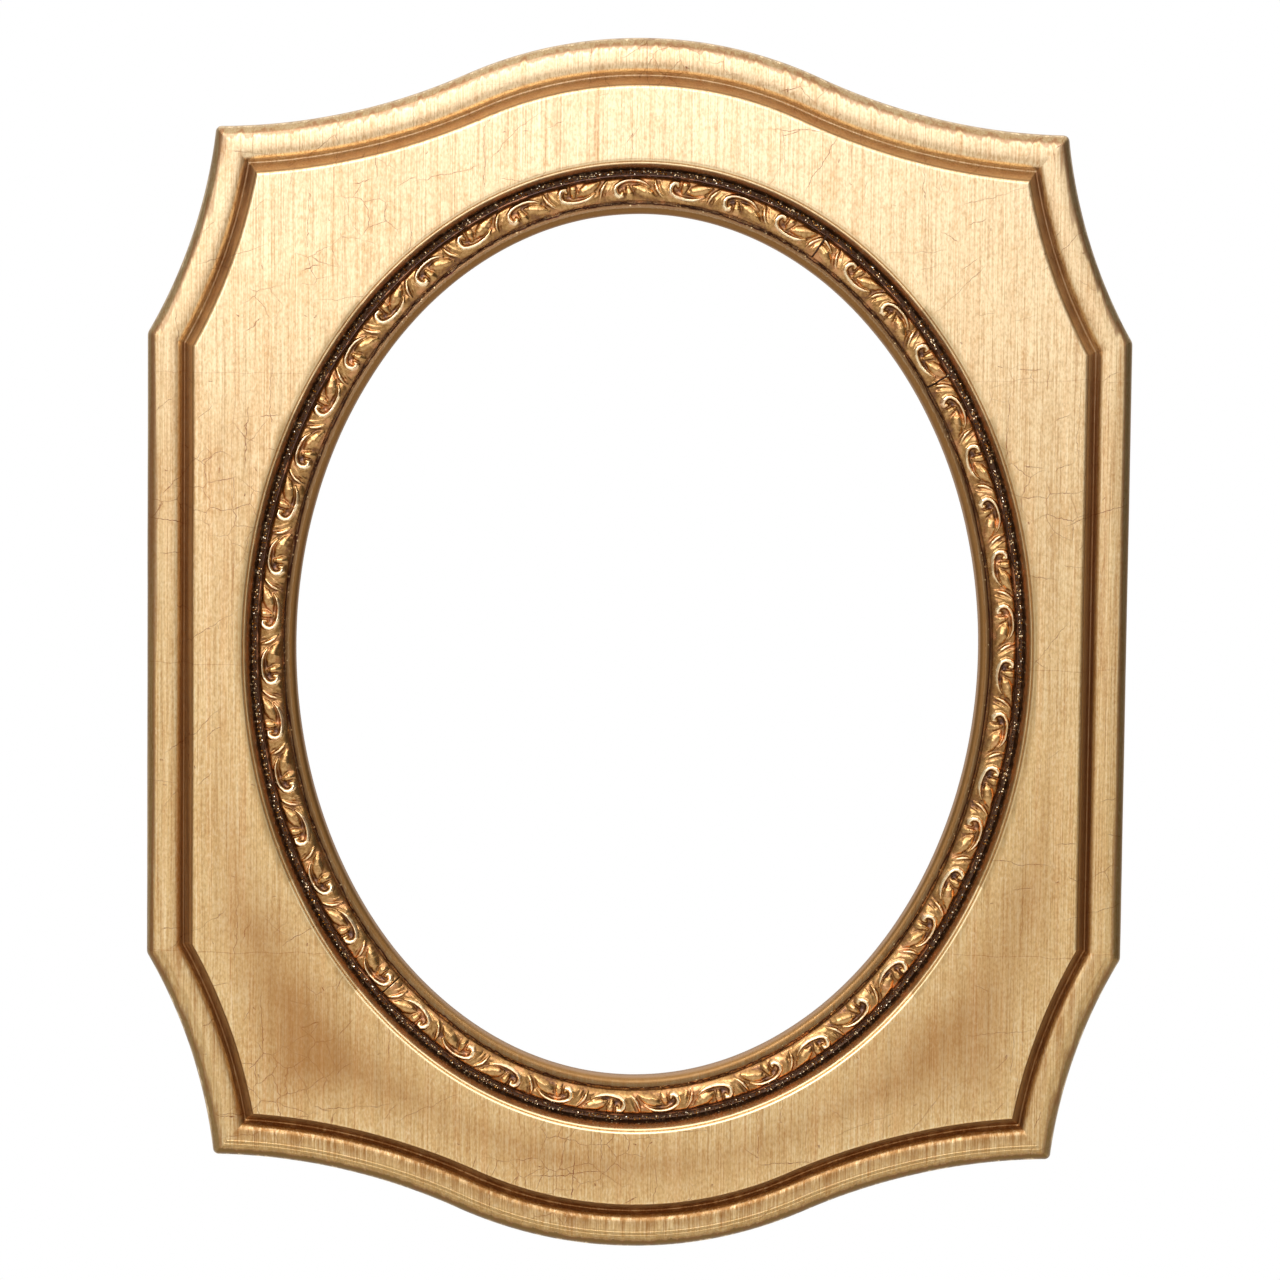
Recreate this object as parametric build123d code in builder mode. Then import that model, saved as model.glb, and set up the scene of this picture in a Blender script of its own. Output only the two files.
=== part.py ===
from build123d import *
import os
from math import acos, asin, atan2, cos, hypot, isclose, radians, sin, sqrt

# Oval picture frame for an 8 by 10 inch picture: carved and gilded wood, empty, with its back fittings.
# Millimetres. X runs across, Z up, and the front faces -Y. The origin is the hang point: the inside top
# of the hang ring, where a wall hook bears. Heights below are measured forwards from the wooden back.

os.makedirs("parts", exist_ok=True)

# Picture: what goes in from the back
picture_width = 203.2
picture_height = 254.0
picture_clearance = 0.8
lip_cover = 6.35
rebate_depth = 10.0

# Overall form: the borders run from the picture's edge to the frame's outside
side_border = 34.9
end_border = 42.0
frame_depth = 21.0
hang_drop = 11.0

# Outline: a crown over each rail, two horns at its ends, and a shoulder at each end of the sides
horn_inset = 18.8
horn_drop = 25.5
shoulder_drop = 82.5
crown_radius = 119.5
shelf_radius = 170.5
cheek_radius = 144.0
horn_round = 1.4
horn_relief = 0.03

# Gesso: the gilded coat over the front, the sides and the sight edge
gesso = 0.6

# Outer moulding: widths from the outer edge, drops of the gilded surface below the panel's face
groove_drop = 7.4
rim_knee_width = 0.8
rim_knee_drop = 5.6
rim_width = 2.6
band_drop = 4.5
band_width = 9.6
band_roll = 1.1
groove_width = 1.0
cove_knee_width = 1.0
cove_knee_drop = 5.0
cove_width = 2.8
panel_step = 0.6

# Inner moulding: widths from the sight edge, drops of the gilded surface below the panel's face
seat_drop = 6.2
sight_lip_width = 3.0
sight_lip_drop = 5.0
sight_lip_round = 0.9
seat_width = 9.0
scoop_knee_width = 0.6
scoop_knee_drop = 4.0
scoop_width = 1.7
fillet_width = 0.6
fillet_drop = 0.7

# Ornament: a pressed composition strip in three lengths, glued in the recess
ornament_inner_gap = 0.3
ornament_width = 7.5
ornament_thickness = 3.4
ornament_shoulder_width = 0.7
ornament_shoulder_thickness = 1.9
ornament_crown_width = 2.3
ornament_seam = 0.4
filler_start_angle = 43.0
filler_end_angle = 67.0
long_seam_angle = 234.7

# Boards: two upright stiles with a block between them at the top and bottom
block_width = 120.0
dowel_diameter = 6.0
dowel_length = 40.0
dowel_glue_gap = 0.05
dowel_end_gap = 0.5
dowel_spacing = 14.0
dowel_height = 7.0

# Turn buttons on the back, parked hanging straight down
button_length = 28.0
button_pivot_radius = 5.0
button_nose_radius = 3.4
button_thickness = 1.0
button_edge_round = 0.25
button_gap = 0.1
button_running_gap = 0.06
button_rebate_gap = 1.5
button_spacing = 90.0
button_screw_diameter = 3.0
button_screw_depth = 11.0
button_head_diameter = 6.4
button_head_thickness = 1.8

# Hanger: a folded steel strap with a loop of wire through its fold
strap_width = 9.5
strap_length = 19.0
strap_sheet = 1.0
strap_corner = 3.0
strap_hole_gap = 0.15
ring_wire = 2.0
ring_running_gap = 0.05
ring_inner_width = 14.0
ring_inner_height = 11.0
ring_corner = 2.2
ring_wall_gap = 0.3
hanger_screw_drop = 11.0
hanger_screw_diameter = 3.5
hanger_screw_depth = 12.0
hanger_head_diameter = 6.8
hanger_head_thickness = 1.6

# All the wood screws
screw_wood_gap = 0.05
screw_head_round = 0.6
screw_slot_width = 0.8
screw_slot_depth = 0.9
screw_point_length = 3.0
screw_point_radius = 0.3

# Bumpers: felt discs that keep the lower corners off the wall
bumper_diameter = 10.0
bumper_thickness = 3.0
bumper_edge_round = 0.5
bumper_inset_x = 13.0
bumper_inset_z = 8.5

# One overrun past the faces serves every cut
overrun = 3.0

# Places worked out from the sizes above
frame_width = picture_width + 2 * side_border
frame_height = picture_height + 2 * end_border
horn_width = frame_width - 2 * horn_inset
horn_height = frame_height - 2 * horn_drop
shoulder_height = frame_height - 2 * shoulder_drop
groove_floor_height = frame_depth - groove_drop
rim_knee_height = frame_depth - rim_knee_drop
band_height = frame_depth - band_drop
cove_knee_height = frame_depth - cove_knee_drop
seat_height = frame_depth - seat_drop
sight_lip_height = frame_depth - sight_lip_drop
scoop_knee_height = frame_depth - scoop_knee_drop
sight_half_width = picture_width / 2 - lip_cover
sight_half_height = picture_height / 2 - lip_cover
rebate_lip = lip_cover + picture_clearance
rebate_half_width = sight_half_width + rebate_lip
rebate_half_height = sight_half_height + rebate_lip
panel_start = band_width + groove_width + cove_width
recess_lip = sight_lip_width + seat_width
panel_end = recess_lip + scoop_width + fillet_width
block_half_width = block_width / 2
dowel_reach = dowel_length / 2
button_x = rebate_half_width + button_rebate_gap + button_pivot_radius
button_places = [
    ("upper_left", -button_x, button_spacing / 2),
    ("upper_right", button_x, button_spacing / 2),
    ("lower_left", -button_x, -button_spacing / 2),
    ("lower_right", button_x, -button_spacing / 2),
]
ring_radius = ring_wire / 2
barrel_bore_radius = ring_radius + ring_running_gap
barrel_radius = barrel_bore_radius + strap_sheet
strap_thickness = 2 * strap_sheet
ring_reach = ring_inner_height + ring_wire
ring_lean = asin((barrel_radius - ring_radius - ring_wall_gap) / ring_reach)
ring_axis_drop = ring_inner_height + ring_radius
back_y = -ring_radius * (1 + sin(ring_lean)) - ring_wall_gap
centre_z = hang_drop - frame_height / 2
barrel_y = ring_axis_drop * sin(ring_lean)
barrel_z = -ring_axis_drop * cos(ring_lean)
bumper_x = horn_width / 2 - bumper_inset_x
bumper_z = -horn_height / 2 + bumper_inset_z


def level(height):
    """The plane that far in front of the wooden back, facing forwards, centred on the frame."""
    return Plane(origin=(0, back_y - height, centre_z), x_dir=(1, 0, 0), z_dir=(0, -1, 0))


def rear_level(height, x=0, z=0):
    """The plane that far behind the wooden back, facing backwards, at a place given from the centre."""
    return Plane(origin=(x, back_y + height, centre_z + z), x_dir=(-1, 0, 0), z_dir=(0, 1, 0))


def outline_points():
    """The crown's side, its meeting with the shelf, the horn, the shoulder and the shelf's centre."""
    crown_centre_z = frame_height / 2 - crown_radius
    horn = (horn_width / 2, horn_height / 2)
    across, up = horn[0], horn[1] - crown_centre_z
    reach = hypot(across, up)
    centres = crown_radius + shelf_radius
    spread = acos((centres**2 + reach**2 - shelf_radius**2) / (2 * centres * reach))
    turn = atan2(up, across) + spread
    middle = (turn + radians(90)) / 2
    crown = (crown_radius * cos(middle), crown_centre_z + crown_radius * sin(middle))
    meeting = (crown_radius * cos(turn), crown_centre_z + crown_radius * sin(turn))
    shelf_centre = (centres * cos(turn), crown_centre_z + centres * sin(turn))
    shoulder = (frame_width / 2, shoulder_height / 2)
    return crown, meeting, horn, shoulder, shelf_centre


def outline(inset):
    """The frame's outline, moved in by an inset all round."""
    crown, meeting, horn, shoulder, _ = outline_points()
    with BuildSketch() as shape:
        with BuildLine():
            ThreePointArc((0, frame_height / 2), crown, meeting)
            RadiusArc(meeting, horn, -shelf_radius)
            RadiusArc(horn, shoulder, -cheek_radius)
            Line(shoulder, (frame_width / 2, 0))
            mirror(about=Plane.YZ)
            mirror(about=Plane.XZ)
        make_face()
        if inset > 0:
            offset(amount=-inset, kind=Kind.INTERSECTION, mode=Mode.REPLACE)
    return shape.sketch


def oval(lip):
    """The sight oval, moved out by a lip all round."""
    with BuildSketch() as shape:
        Ellipse(sight_half_width + lip, sight_half_height + lip)
    return shape.sketch


def section(form, offset_from_edge, height):
    """The face of an outline or oval at a height in front of the wooden back."""
    with BuildSketch(level(height)) as shape:
        add(form(offset_from_edge))
    return shape.sketch.face()


def stack(form, stations):
    """A ruled solid through a form at each (offset, height) station, from the back forwards.

    Two stations at one height are a flat ledge, which needs no solid of its own.
    """
    with BuildPart() as solid:
        for (first, low), (second, high) in zip(stations, stations[1:]):
            if first == second:
                extrude(section(form, first, low), amount=high - low)
            elif low != high:
                loft([section(form, first, low), section(form, second, high)], ruled=True)
    return solid.part


def moulded_frame(skin):
    """The whole moulded frame, its front, sides and sight edge set in by a skin of gesso."""
    front = frame_depth - skin
    seat = seat_height - skin
    groove_floor = groove_floor_height - skin
    band_top = band_height - skin
    sides = [
        (skin, 0),
        (skin, groove_floor),
        (rim_knee_width + skin, rim_knee_height - skin),
        (rim_width + skin, band_top),
    ]
    quirk_start = band_width - skin
    quirk = [
        (quirk_start, groove_floor),
        (quirk_start, band_top - band_roll),
        (quirk_start - band_roll, band_top),
        (quirk_start - band_roll, band_top + overrun),
    ]
    cove_start = band_width + groove_width + skin
    panel = [
        (cove_start, groove_floor),
        (cove_start + cove_knee_width, cove_knee_height - skin),
        (panel_start + skin, front - panel_step),
        (panel_start + skin, front),
    ]
    recess = [
        (recess_lip + skin, seat),
        (recess_lip + scoop_knee_width + skin, scoop_knee_height - skin),
        (recess_lip + scoop_width + skin, front - fillet_drop),
        (panel_end + skin, front - fillet_drop),
        (panel_end + skin, front + overrun),
    ]
    lip_front = sight_lip_height - skin
    lip_outside = sight_lip_width - skin
    lip = [
        (lip_outside, seat),
        (lip_outside - sight_lip_round + skin, lip_front),
    ]
    sight = [
        (skin, 0),
        (skin, lip_front - sight_lip_round),
        (skin + sight_lip_round, lip_front),
        (skin + sight_lip_round, lip_front + overrun),
    ]
    rebate = [(rebate_lip, -overrun), (rebate_lip, rebate_depth)]
    with BuildPart() as body:
        add(stack(outline, sides))
        add(stack(outline, quirk), mode=Mode.SUBTRACT)
        add(stack(outline, panel))
        add(stack(oval, recess), mode=Mode.SUBTRACT)
        add(stack(oval, lip))
        add(stack(oval, sight), mode=Mode.SUBTRACT)
        add(stack(oval, rebate), mode=Mode.SUBTRACT)
    return body.part


def dowel_row_height():
    """The middle of the wood between the rebate and the outer edge, beside a block's end."""
    inner_x = block_half_width - dowel_reach
    outer_x = block_half_width + dowel_reach
    rebate_z = rebate_half_height * sqrt(1 - (inner_x / rebate_half_width) ** 2)
    shelf_x, shelf_z = outline_points()[4]
    edge_z = shelf_z - sqrt(shelf_radius**2 - (outer_x - shelf_x) ** 2)
    return (rebate_z + edge_z) / 2


def dowel_row(side, end, radius, reach):
    """A pair of round bars across one joint, on the left (-1) or right, at the bottom (-1) or top."""
    row = Plane(
        origin=(side * block_half_width, back_y - dowel_height, centre_z + end * dowel_row_height()),
        x_dir=(0, 1, 0),
        z_dir=(1, 0, 0),
    )
    with BuildPart() as bars:
        with BuildSketch(row):
            with GridLocations(0, dowel_spacing, 1, 2):
                Circle(radius)
        extrude(amount=reach, both=True)
    return bars.part


def wood_screw(diameter, depth, seat, head_diameter, head_thickness):
    """A slotted round-head screw with its axis on Z: wood at zero, head seated above it."""
    with BuildPart() as screw:
        with BuildSketch(Plane.XY.offset(-depth + screw_point_length)):
            Circle(diameter / 2)
        extrude(amount=depth - screw_point_length + seat)
        with BuildSketch(Plane.XY.offset(-depth)):
            Circle(screw_point_radius)
        with BuildSketch(Plane.XY.offset(-depth + screw_point_length)):
            Circle(diameter / 2)
        loft()
        with BuildSketch(Plane.XY.offset(seat)):
            Circle(head_diameter / 2)
        extrude(amount=head_thickness)
        fillet(screw.edges().group_by(Axis.Z)[-1], screw_head_round)
        with BuildSketch(Plane.XY.offset(seat + head_thickness - screw_slot_depth)):
            Rectangle(head_diameter + overrun, screw_slot_width)
        extrude(amount=screw_slot_depth + overrun, mode=Mode.SUBTRACT)
    return screw.part


# Wood: the moulded body, bored for its dowels and screws
moulded_wood = moulded_frame(gesso)
with BuildPart() as wood:
    add(moulded_wood)
    for side in (-1, 1):
        for end in (-1, 1):
            hole_reach = dowel_reach + dowel_end_gap
            add(dowel_row(side, end, dowel_diameter / 2 + dowel_glue_gap, hole_reach), mode=Mode.SUBTRACT)
    for _, x, z in button_places:
        with BuildSketch(rear_level(0, x, z)):
            Circle(button_screw_diameter / 2 + screw_wood_gap)
        extrude(amount=-button_screw_depth - screw_wood_gap, mode=Mode.SUBTRACT)
    with BuildSketch(rear_level(0, 0, barrel_z - hanger_screw_drop - centre_z)):
        Circle(hanger_screw_diameter / 2 + screw_wood_gap)
    extrude(amount=-hanger_screw_depth - screw_wood_gap, mode=Mode.SUBTRACT)

# Stiles: the upright boards outside the joints
for name, side, keep in (("left_stile", -1, Keep.BOTTOM), ("right_stile", 1, Keep.TOP)):
    with BuildPart() as stile:
        add(wood.part)
        split(bisect_by=Plane.YZ.offset(side * block_half_width), keep=keep)
    stile.part.label = name
    export_step(stile.part, f"parts/{name}.step")

# Rails: the short blocks between the stiles
for name, keep in (("top_rail", Keep.TOP), ("bottom_rail", Keep.BOTTOM)):
    with BuildPart() as rail:
        add(wood.part)
        split(bisect_by=Plane.YZ.offset(-block_half_width), keep=Keep.TOP)
        split(bisect_by=Plane.YZ.offset(block_half_width), keep=Keep.BOTTOM)
        split(bisect_by=Plane.XY.offset(centre_z), keep=keep)
    rail.part.label = name
    export_step(rail.part, f"parts/{name}.step")

# Dowels: a pair of beech pins across each of the four joints
for name, side, end in (
    ("upper_left_dowels", -1, 1),
    ("upper_right_dowels", 1, 1),
    ("lower_left_dowels", -1, -1),
    ("lower_right_dowels", 1, -1),
):
    with BuildPart() as dowels:
        add(dowel_row(side, end, dowel_diameter / 2, dowel_reach))
    dowels.part.label = name
    export_step(dowels.part, f"parts/{name}.step")

# Gesso coat: one skin over all four boards, its horns rounded off
with BuildSketch() as rounded:
    add(outline(0))
    horns = rounded.vertices().filter_by(lambda v: isclose(abs(v.Y), horn_height / 2))
    fillet(horns, horn_round)
horn_arcs = [edge for edge in rounded.edges() if edge.length < 2 * horn_round]
with BuildPart() as gesso_coat:
    add(moulded_frame(0))
    add(moulded_wood, mode=Mode.SUBTRACT)
    for arc in horn_arcs:
        centre = arc.arc_center
        rays = [(arc @ share - centre).normalized() for share in (0, 0.5, 1)]
        reach = horn_round + horn_relief
        with BuildSketch(level(-overrun)):
            with BuildLine():
                tip = centre + rays[1] * (reach + overrun)
                Polyline(centre + rays[0] * reach, tip, centre + rays[2] * reach, close=True)
            make_face()
            with Locations(centre):
                Circle(reach, mode=Mode.SUBTRACT)
        extrude(amount=frame_depth + 2 * overrun, mode=Mode.SUBTRACT)
gesso_coat.part.label = "gesso_coat"
export_step(gesso_coat.part, "parts/gesso_coat.step")

# Ornament: the pressed strip, cut by its three seams
crown_inset = (ornament_width - ornament_crown_width) / 2
ornament_inside = sight_lip_width + ornament_inner_gap
ornament_outside = ornament_inside + ornament_width
ornament_shoulder = seat_height + ornament_shoulder_thickness
ornament_front = seat_height + ornament_thickness
with BuildPart() as ornament:
    add(stack(oval, [
        (ornament_outside, seat_height),
        (ornament_outside - ornament_shoulder_width, ornament_shoulder),
        (ornament_outside - crown_inset, ornament_front),
    ]))
    add(stack(oval, [
        (ornament_inside, seat_height),
        (ornament_inside + ornament_shoulder_width, ornament_shoulder),
        (ornament_inside + crown_inset, ornament_front),
        (ornament_inside + crown_inset, ornament_front + overrun),
    ]), mode=Mode.SUBTRACT)
    for angle in (filler_start_angle, filler_end_angle, long_seam_angle):
        with BuildSketch(level(seat_height - overrun)):
            with Locations(Location((0, 0), angle)):
                Rectangle(frame_height, ornament_seam, align=(Align.MIN, Align.CENTER))
        extrude(amount=ornament_thickness + 2 * overrun, mode=Mode.SUBTRACT)
lengths = ornament.part.solids().sort_by(SortBy.VOLUME)
long_lengths = ShapeList(lengths[1:]).sort_by(Axis.X)
for name, length in (
    ("ornament_filler", lengths[0]),
    ("ornament_strip_left", long_lengths[0]),
    ("ornament_strip_right", long_lengths[1]),
):
    with BuildPart() as strip:
        add(length)
    strip.part.label = name
    export_step(strip.part, f"parts/{name}.step")

# Turn buttons: each turns on its own screw and hangs down when it is out of use
for place, x, z in button_places:
    with BuildPart() as turn_button:
        with BuildSketch(rear_level(button_gap, x, z)):
            Circle(button_pivot_radius)
            with Locations((0, -(button_length - button_pivot_radius - button_nose_radius))):
                Circle(button_nose_radius)
            make_hull()
        extrude(amount=button_thickness)
        fillet(turn_button.faces().sort_by(Axis.Y)[-1].edges(), button_edge_round)
        with BuildSketch(rear_level(-overrun, x, z)):
            Circle(button_screw_diameter / 2 + button_running_gap)
        extrude(amount=button_thickness + 2 * overrun, mode=Mode.SUBTRACT)
    turn_button.part.label = f"turn_button_{place}"
    export_step(turn_button.part, f"parts/turn_button_{place}.step")

# Button screws: one through each turn button into the stile
button_seat = button_thickness + 2 * button_gap
with BuildPart() as button_screws:
    for _, x, z in button_places:
        screw = wood_screw(
            button_screw_diameter,
            button_screw_depth,
            button_seat,
            button_head_diameter,
            button_head_thickness,
        )
        add(rear_level(0, x, z).location * screw)
button_screws.part.label = "button_screws"
export_step(button_screws.part, "parts/button_screws.step")

# Hanger strap: steel sheet folded round the ring's bar, one screw through both layers
with BuildPart() as hanger_strap:
    with BuildSketch(Plane.YZ):
        with Locations((barrel_y, barrel_z)):
            Circle(barrel_radius)
        with Locations((back_y, barrel_z)):
            Rectangle(strap_thickness, strap_length, align=(Align.MIN, Align.MAX))
    extrude(amount=strap_width / 2, both=True)
    end_edges = hanger_strap.edges().filter_by(Axis.Y).group_by(Axis.Z)[0]
    fillet(end_edges, strap_corner)
    with BuildSketch(Plane.YZ):
        with Locations((barrel_y, barrel_z)):
            Circle(barrel_bore_radius)
    extrude(amount=strap_width, both=True, mode=Mode.SUBTRACT)
    with BuildSketch(rear_level(-overrun, 0, barrel_z - hanger_screw_drop - centre_z)):
        Circle(hanger_screw_diameter / 2 + strap_hole_gap)
    extrude(amount=strap_thickness + 2 * overrun, mode=Mode.SUBTRACT)
hanger_strap.part.label = "hanger_strap"
export_step(hanger_strap.part, "parts/hanger_strap.step")

# Hang ring: a D of wire, its bar through the strap's fold, leaning on the frame's back
ring_plane = Plane(origin=(0, 0, 0), x_dir=(1, 0, 0), z_dir=(0, -cos(ring_lean), -sin(ring_lean)))
ring_half_width = ring_inner_width / 2 + ring_radius
with BuildPart() as hang_ring:
    with BuildLine(ring_plane) as loop:
        arch_low = ring_radius - ring_half_width
        Line((ring_half_width, -ring_axis_drop), (ring_half_width, arch_low))
        ThreePointArc((ring_half_width, arch_low), (0, ring_radius), (-ring_half_width, arch_low))
        Line((-ring_half_width, arch_low), (-ring_half_width, -ring_axis_drop))
        Line((-ring_half_width, -ring_axis_drop), (ring_half_width, -ring_axis_drop))
        fillet(loop.vertices().group_by(Axis.Z)[0], ring_corner)
    with BuildSketch(Plane.YZ):
        with Locations((barrel_y, barrel_z)):
            Circle(ring_radius)
    sweep(path=loop.wires()[0])
hang_ring.part.label = "hang_ring"
export_step(hang_ring.part, "parts/hang_ring.step")

# Hanger screw: through the strap into the top rail
with BuildPart() as hanger_screw:
    screw = wood_screw(
        hanger_screw_diameter,
        hanger_screw_depth,
        strap_thickness,
        hanger_head_diameter,
        hanger_head_thickness,
    )
    add(rear_level(0, 0, barrel_z - hanger_screw_drop - centre_z).location * screw)
hanger_screw.part.label = "hanger_screw"
export_step(hanger_screw.part, "parts/hanger_screw.step")

# Bumpers: one felt disc at each lower corner
for name, side in (("left_bumper", -1), ("right_bumper", 1)):
    with BuildPart() as bumper:
        with BuildSketch(rear_level(0, side * bumper_x, bumper_z)):
            Circle(bumper_diameter / 2)
        extrude(amount=bumper_thickness)
        fillet(bumper.edges().group_by(Axis.Y)[-1], bumper_edge_round)
    bumper.part.label = name
    export_step(bumper.part, f"parts/{name}.step")
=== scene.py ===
import math
from functools import partial

import bmesh
import bpy
import numpy as np
from mathutils import Matrix, Vector, noise


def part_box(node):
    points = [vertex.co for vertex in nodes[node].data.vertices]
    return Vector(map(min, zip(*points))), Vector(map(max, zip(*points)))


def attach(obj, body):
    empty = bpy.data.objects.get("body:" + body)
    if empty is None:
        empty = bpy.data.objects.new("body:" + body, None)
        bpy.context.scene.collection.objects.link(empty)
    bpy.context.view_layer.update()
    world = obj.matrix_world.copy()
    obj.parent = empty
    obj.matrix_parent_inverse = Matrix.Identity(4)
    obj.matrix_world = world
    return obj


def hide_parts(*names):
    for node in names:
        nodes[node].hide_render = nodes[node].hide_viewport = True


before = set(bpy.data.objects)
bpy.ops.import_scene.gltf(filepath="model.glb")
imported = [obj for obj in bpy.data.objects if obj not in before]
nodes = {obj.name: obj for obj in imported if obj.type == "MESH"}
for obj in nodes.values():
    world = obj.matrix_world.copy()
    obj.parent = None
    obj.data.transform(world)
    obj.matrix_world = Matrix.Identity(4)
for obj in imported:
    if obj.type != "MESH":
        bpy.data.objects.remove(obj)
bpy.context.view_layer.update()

# Boards: two upright stiles with a short block between them at the top and the bottom. They are
# basswood, edge-glued with the grain upright, sawn and planed, and left bare at the back and in the
# rebate, where age has browned them.


def linear(hex_colour):
    """An sRGB hex value as the linear colour that a shader takes."""
    channels = [int(hex_colour[place:place + 2], 16) / 255 for place in (1, 3, 5)]
    return [c / 12.92 if c <= 0.04045 else ((c + 0.055) / 1.055) ** 2.4 for c in channels] + [1.0]


def feed(node, inputs):
    """Gives a node's inputs values, or the sockets that feed them: by name, or in the order shown."""
    shown = [socket for socket in node.inputs if socket.enabled]
    for key, value in inputs.items() if isinstance(inputs, dict) else enumerate(inputs):
        socket = shown[key] if isinstance(key, int) else node.inputs[key]
        if isinstance(value, bpy.types.NodeSocket):
            node.id_data.links.new(value, socket)
        else:
            socket.default_value = value


def add_node(tree, kind, inputs=(), output=None, ramp=None, **settings):
    """Adds a node, with its settings and links, and returns its first output or the one named. A word
    after the kind is its operation, or the data it works on."""
    kind, _, mode = kind.partition(" ")
    prefixes = ("ShaderNode", "GeometryNode", "FunctionNode", "")
    made = tree.nodes.new(next(start + kind for start in prefixes if hasattr(bpy.types, start + kind)))
    if mode:
        setattr(made, "operation" if hasattr(made, "operation") else "data_type", mode)
    for name, value in settings.items():
        setattr(made, name, value)
    feed(made, inputs)
    if ramp:
        stops = made.color_ramp.elements
        while len(stops) < len(ramp):
            stops.new(0.5)
        for stop, (place, hex_colour) in zip(stops, ramp):
            stop.position = place
            stop.color = linear(hex_colour)
    if output:
        return made.outputs[output]
    return next((socket for socket in made.outputs if socket.enabled), None)


def new_material(name):
    """A new material, what adds nodes to it, and its surface shader."""
    material = bpy.data.materials.new(name)
    material.use_nodes = True
    return material, partial(add_node, material.node_tree), material.node_tree.nodes["Principled BSDF"]


def use_material(node_name, material):
    """Gives a CAD node's object a better material in all its slots."""
    for slot in nodes[node_name].material_slots:
        slot.material = material


def planed_wood(name, early, late, shade, ring_spacing, fibre, seed):
    """Bare planed wood, upright grain: growth rings drawn out along Z, fine pores, and handling dirt."""
    material, add, surface = new_material(name)
    coords = add("TexCoord", output="Object")
    drift = add("Mapping", {"Vector": coords, "Location": (seed, seed * 2, 0), "Scale": (22, 22, 2.2)})
    bend = add("TexNoise", (drift, 1.0, 3.0), "Color")
    across = add("Mapping", {"Vector": coords, "Scale": (1, 1.6, 0.05)})
    bent = add("Mix VECTOR", (0.06, across, bend))
    # A wave texture at scale 1 has a crest every 0.314 m
    rings = add("TexWave", (bent, 0.314 / ring_spacing, 1.2, 2.0, 1.5), "Fac", wave_profile="SAW")
    pores = add("Mapping", {"Vector": coords, "Scale": (1 / fibre, 1 / fibre, 0.03 / fibre)})
    fibres = add("TexNoise", (pores, 1.0, 2.0))
    # A noise texture's scale is its patches to the metre: these are 70 mm across
    dirt = add("TexNoise", (coords, 14.0, 5.0))
    shown = add("ValToRGB", (rings,), ramp=[(0.0, early), (0.7, early), (1.0, late)])
    for pattern, start, full, most, hex_colour in (
        (fibres, 0.42, 0.75, 0.5, late),
        (dirt, 0.45, 0.8, 0.55, shade),
    ):
        amount = add("MapRange", (pattern, start, full, 0.0, most))
        shown = add("Mix RGBA", (amount, shown, linear(hex_colour)))
    relief = add("Bump", {"Height": fibres, "Strength": 0.35, "Distance": fibre / 4})
    feed(surface, {"Base Color": shown, "Roughness": 0.62, "IOR": 1.52, "Normal": relief})
    return material


board_ring_spacing = 0.0035
board_fibre = 0.0006
for seed, board in enumerate(("left_stile", "right_stile", "top_rail", "bottom_rail")):
    use_material(board, planed_wood(
        f"planed_basswood_{board}", "#B9905F", "#9F774A", "#6E4C2B", board_ring_spacing, board_fibre, seed))

# Dowels: turned beech pins, 6 mm thick and 40 mm long, glued in pairs across the four joints. They are
# paler and closer grained than the boards, and nothing of them shows once the frame is glued up.
dowel_ring_spacing = 0.002
dowel_fibre = 0.0004
dowel_wood = planed_wood("turned_beech", "#D2A878", "#B98A5C", "#A5764A", dowel_ring_spacing, dowel_fibre, 5)
corners = ("upper_left", "upper_right", "lower_left", "lower_right")
for corner in corners:
    use_material(f"{corner}_dowels", dowel_wood)

# Gilded coat: gesso over the front, the sides and the sight edge, worked smooth, coloured with red
# clay bole, laid with gold leaf and toned. It is one skin over all four boards: an outer band with a
# rolled edge, a groove and a cove up to the raised panel, then the recess and the lip round the sight.
skin_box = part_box("gesso_coat")
half_width = (skin_box[1][0] - skin_box[0][0]) / 2
half_height = (skin_box[1][2] - skin_box[0][2]) / 2
centre_z = (skin_box[1][2] + skin_box[0][2]) / 2
back_y = skin_box[1][1]

crown_radius = 0.1195
shelf_radius = 0.1705
cheek_radius = 0.144
horn_in, horn_down, shoulder_down = 0.0188, 0.0255, 0.0825
horn = np.array([half_width - horn_in, half_height - horn_down])
shoulder = np.array([half_width, half_height - shoulder_down])
horn_round, least_horn_round = 0.0014, 0.0003
shoulder_round, least_shoulder_round = 0.0025, 0.0005
rounding_width = 0.0026
sight_half_width = 0.09525
sight_half_height = 0.12065


def in_scene(name, data):
    """A new object for a mesh, a lamp or a camera, linked to the scene."""
    placed = bpy.data.objects.new(name, data)
    bpy.context.scene.collection.objects.link(placed)
    return placed


def unit(vector):
    return vector / np.linalg.norm(vector)


def circles_meet(first, first_radius, second, second_radius, near):
    """Where two circles meet, at the meeting nearer to a point."""
    apart = np.linalg.norm(second - first)
    along = (apart ** 2 + first_radius ** 2 - second_radius ** 2) / (2 * apart)
    aside = math.sqrt(first_radius ** 2 - along ** 2)
    direction = (second - first) / apart
    across = np.array([-direction[1], direction[0]])
    meetings = [first + direction * along + across * aside * sign for sign in (-1, 1)]
    return min(meetings, key=lambda point: np.linalg.norm(point - near))


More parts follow.
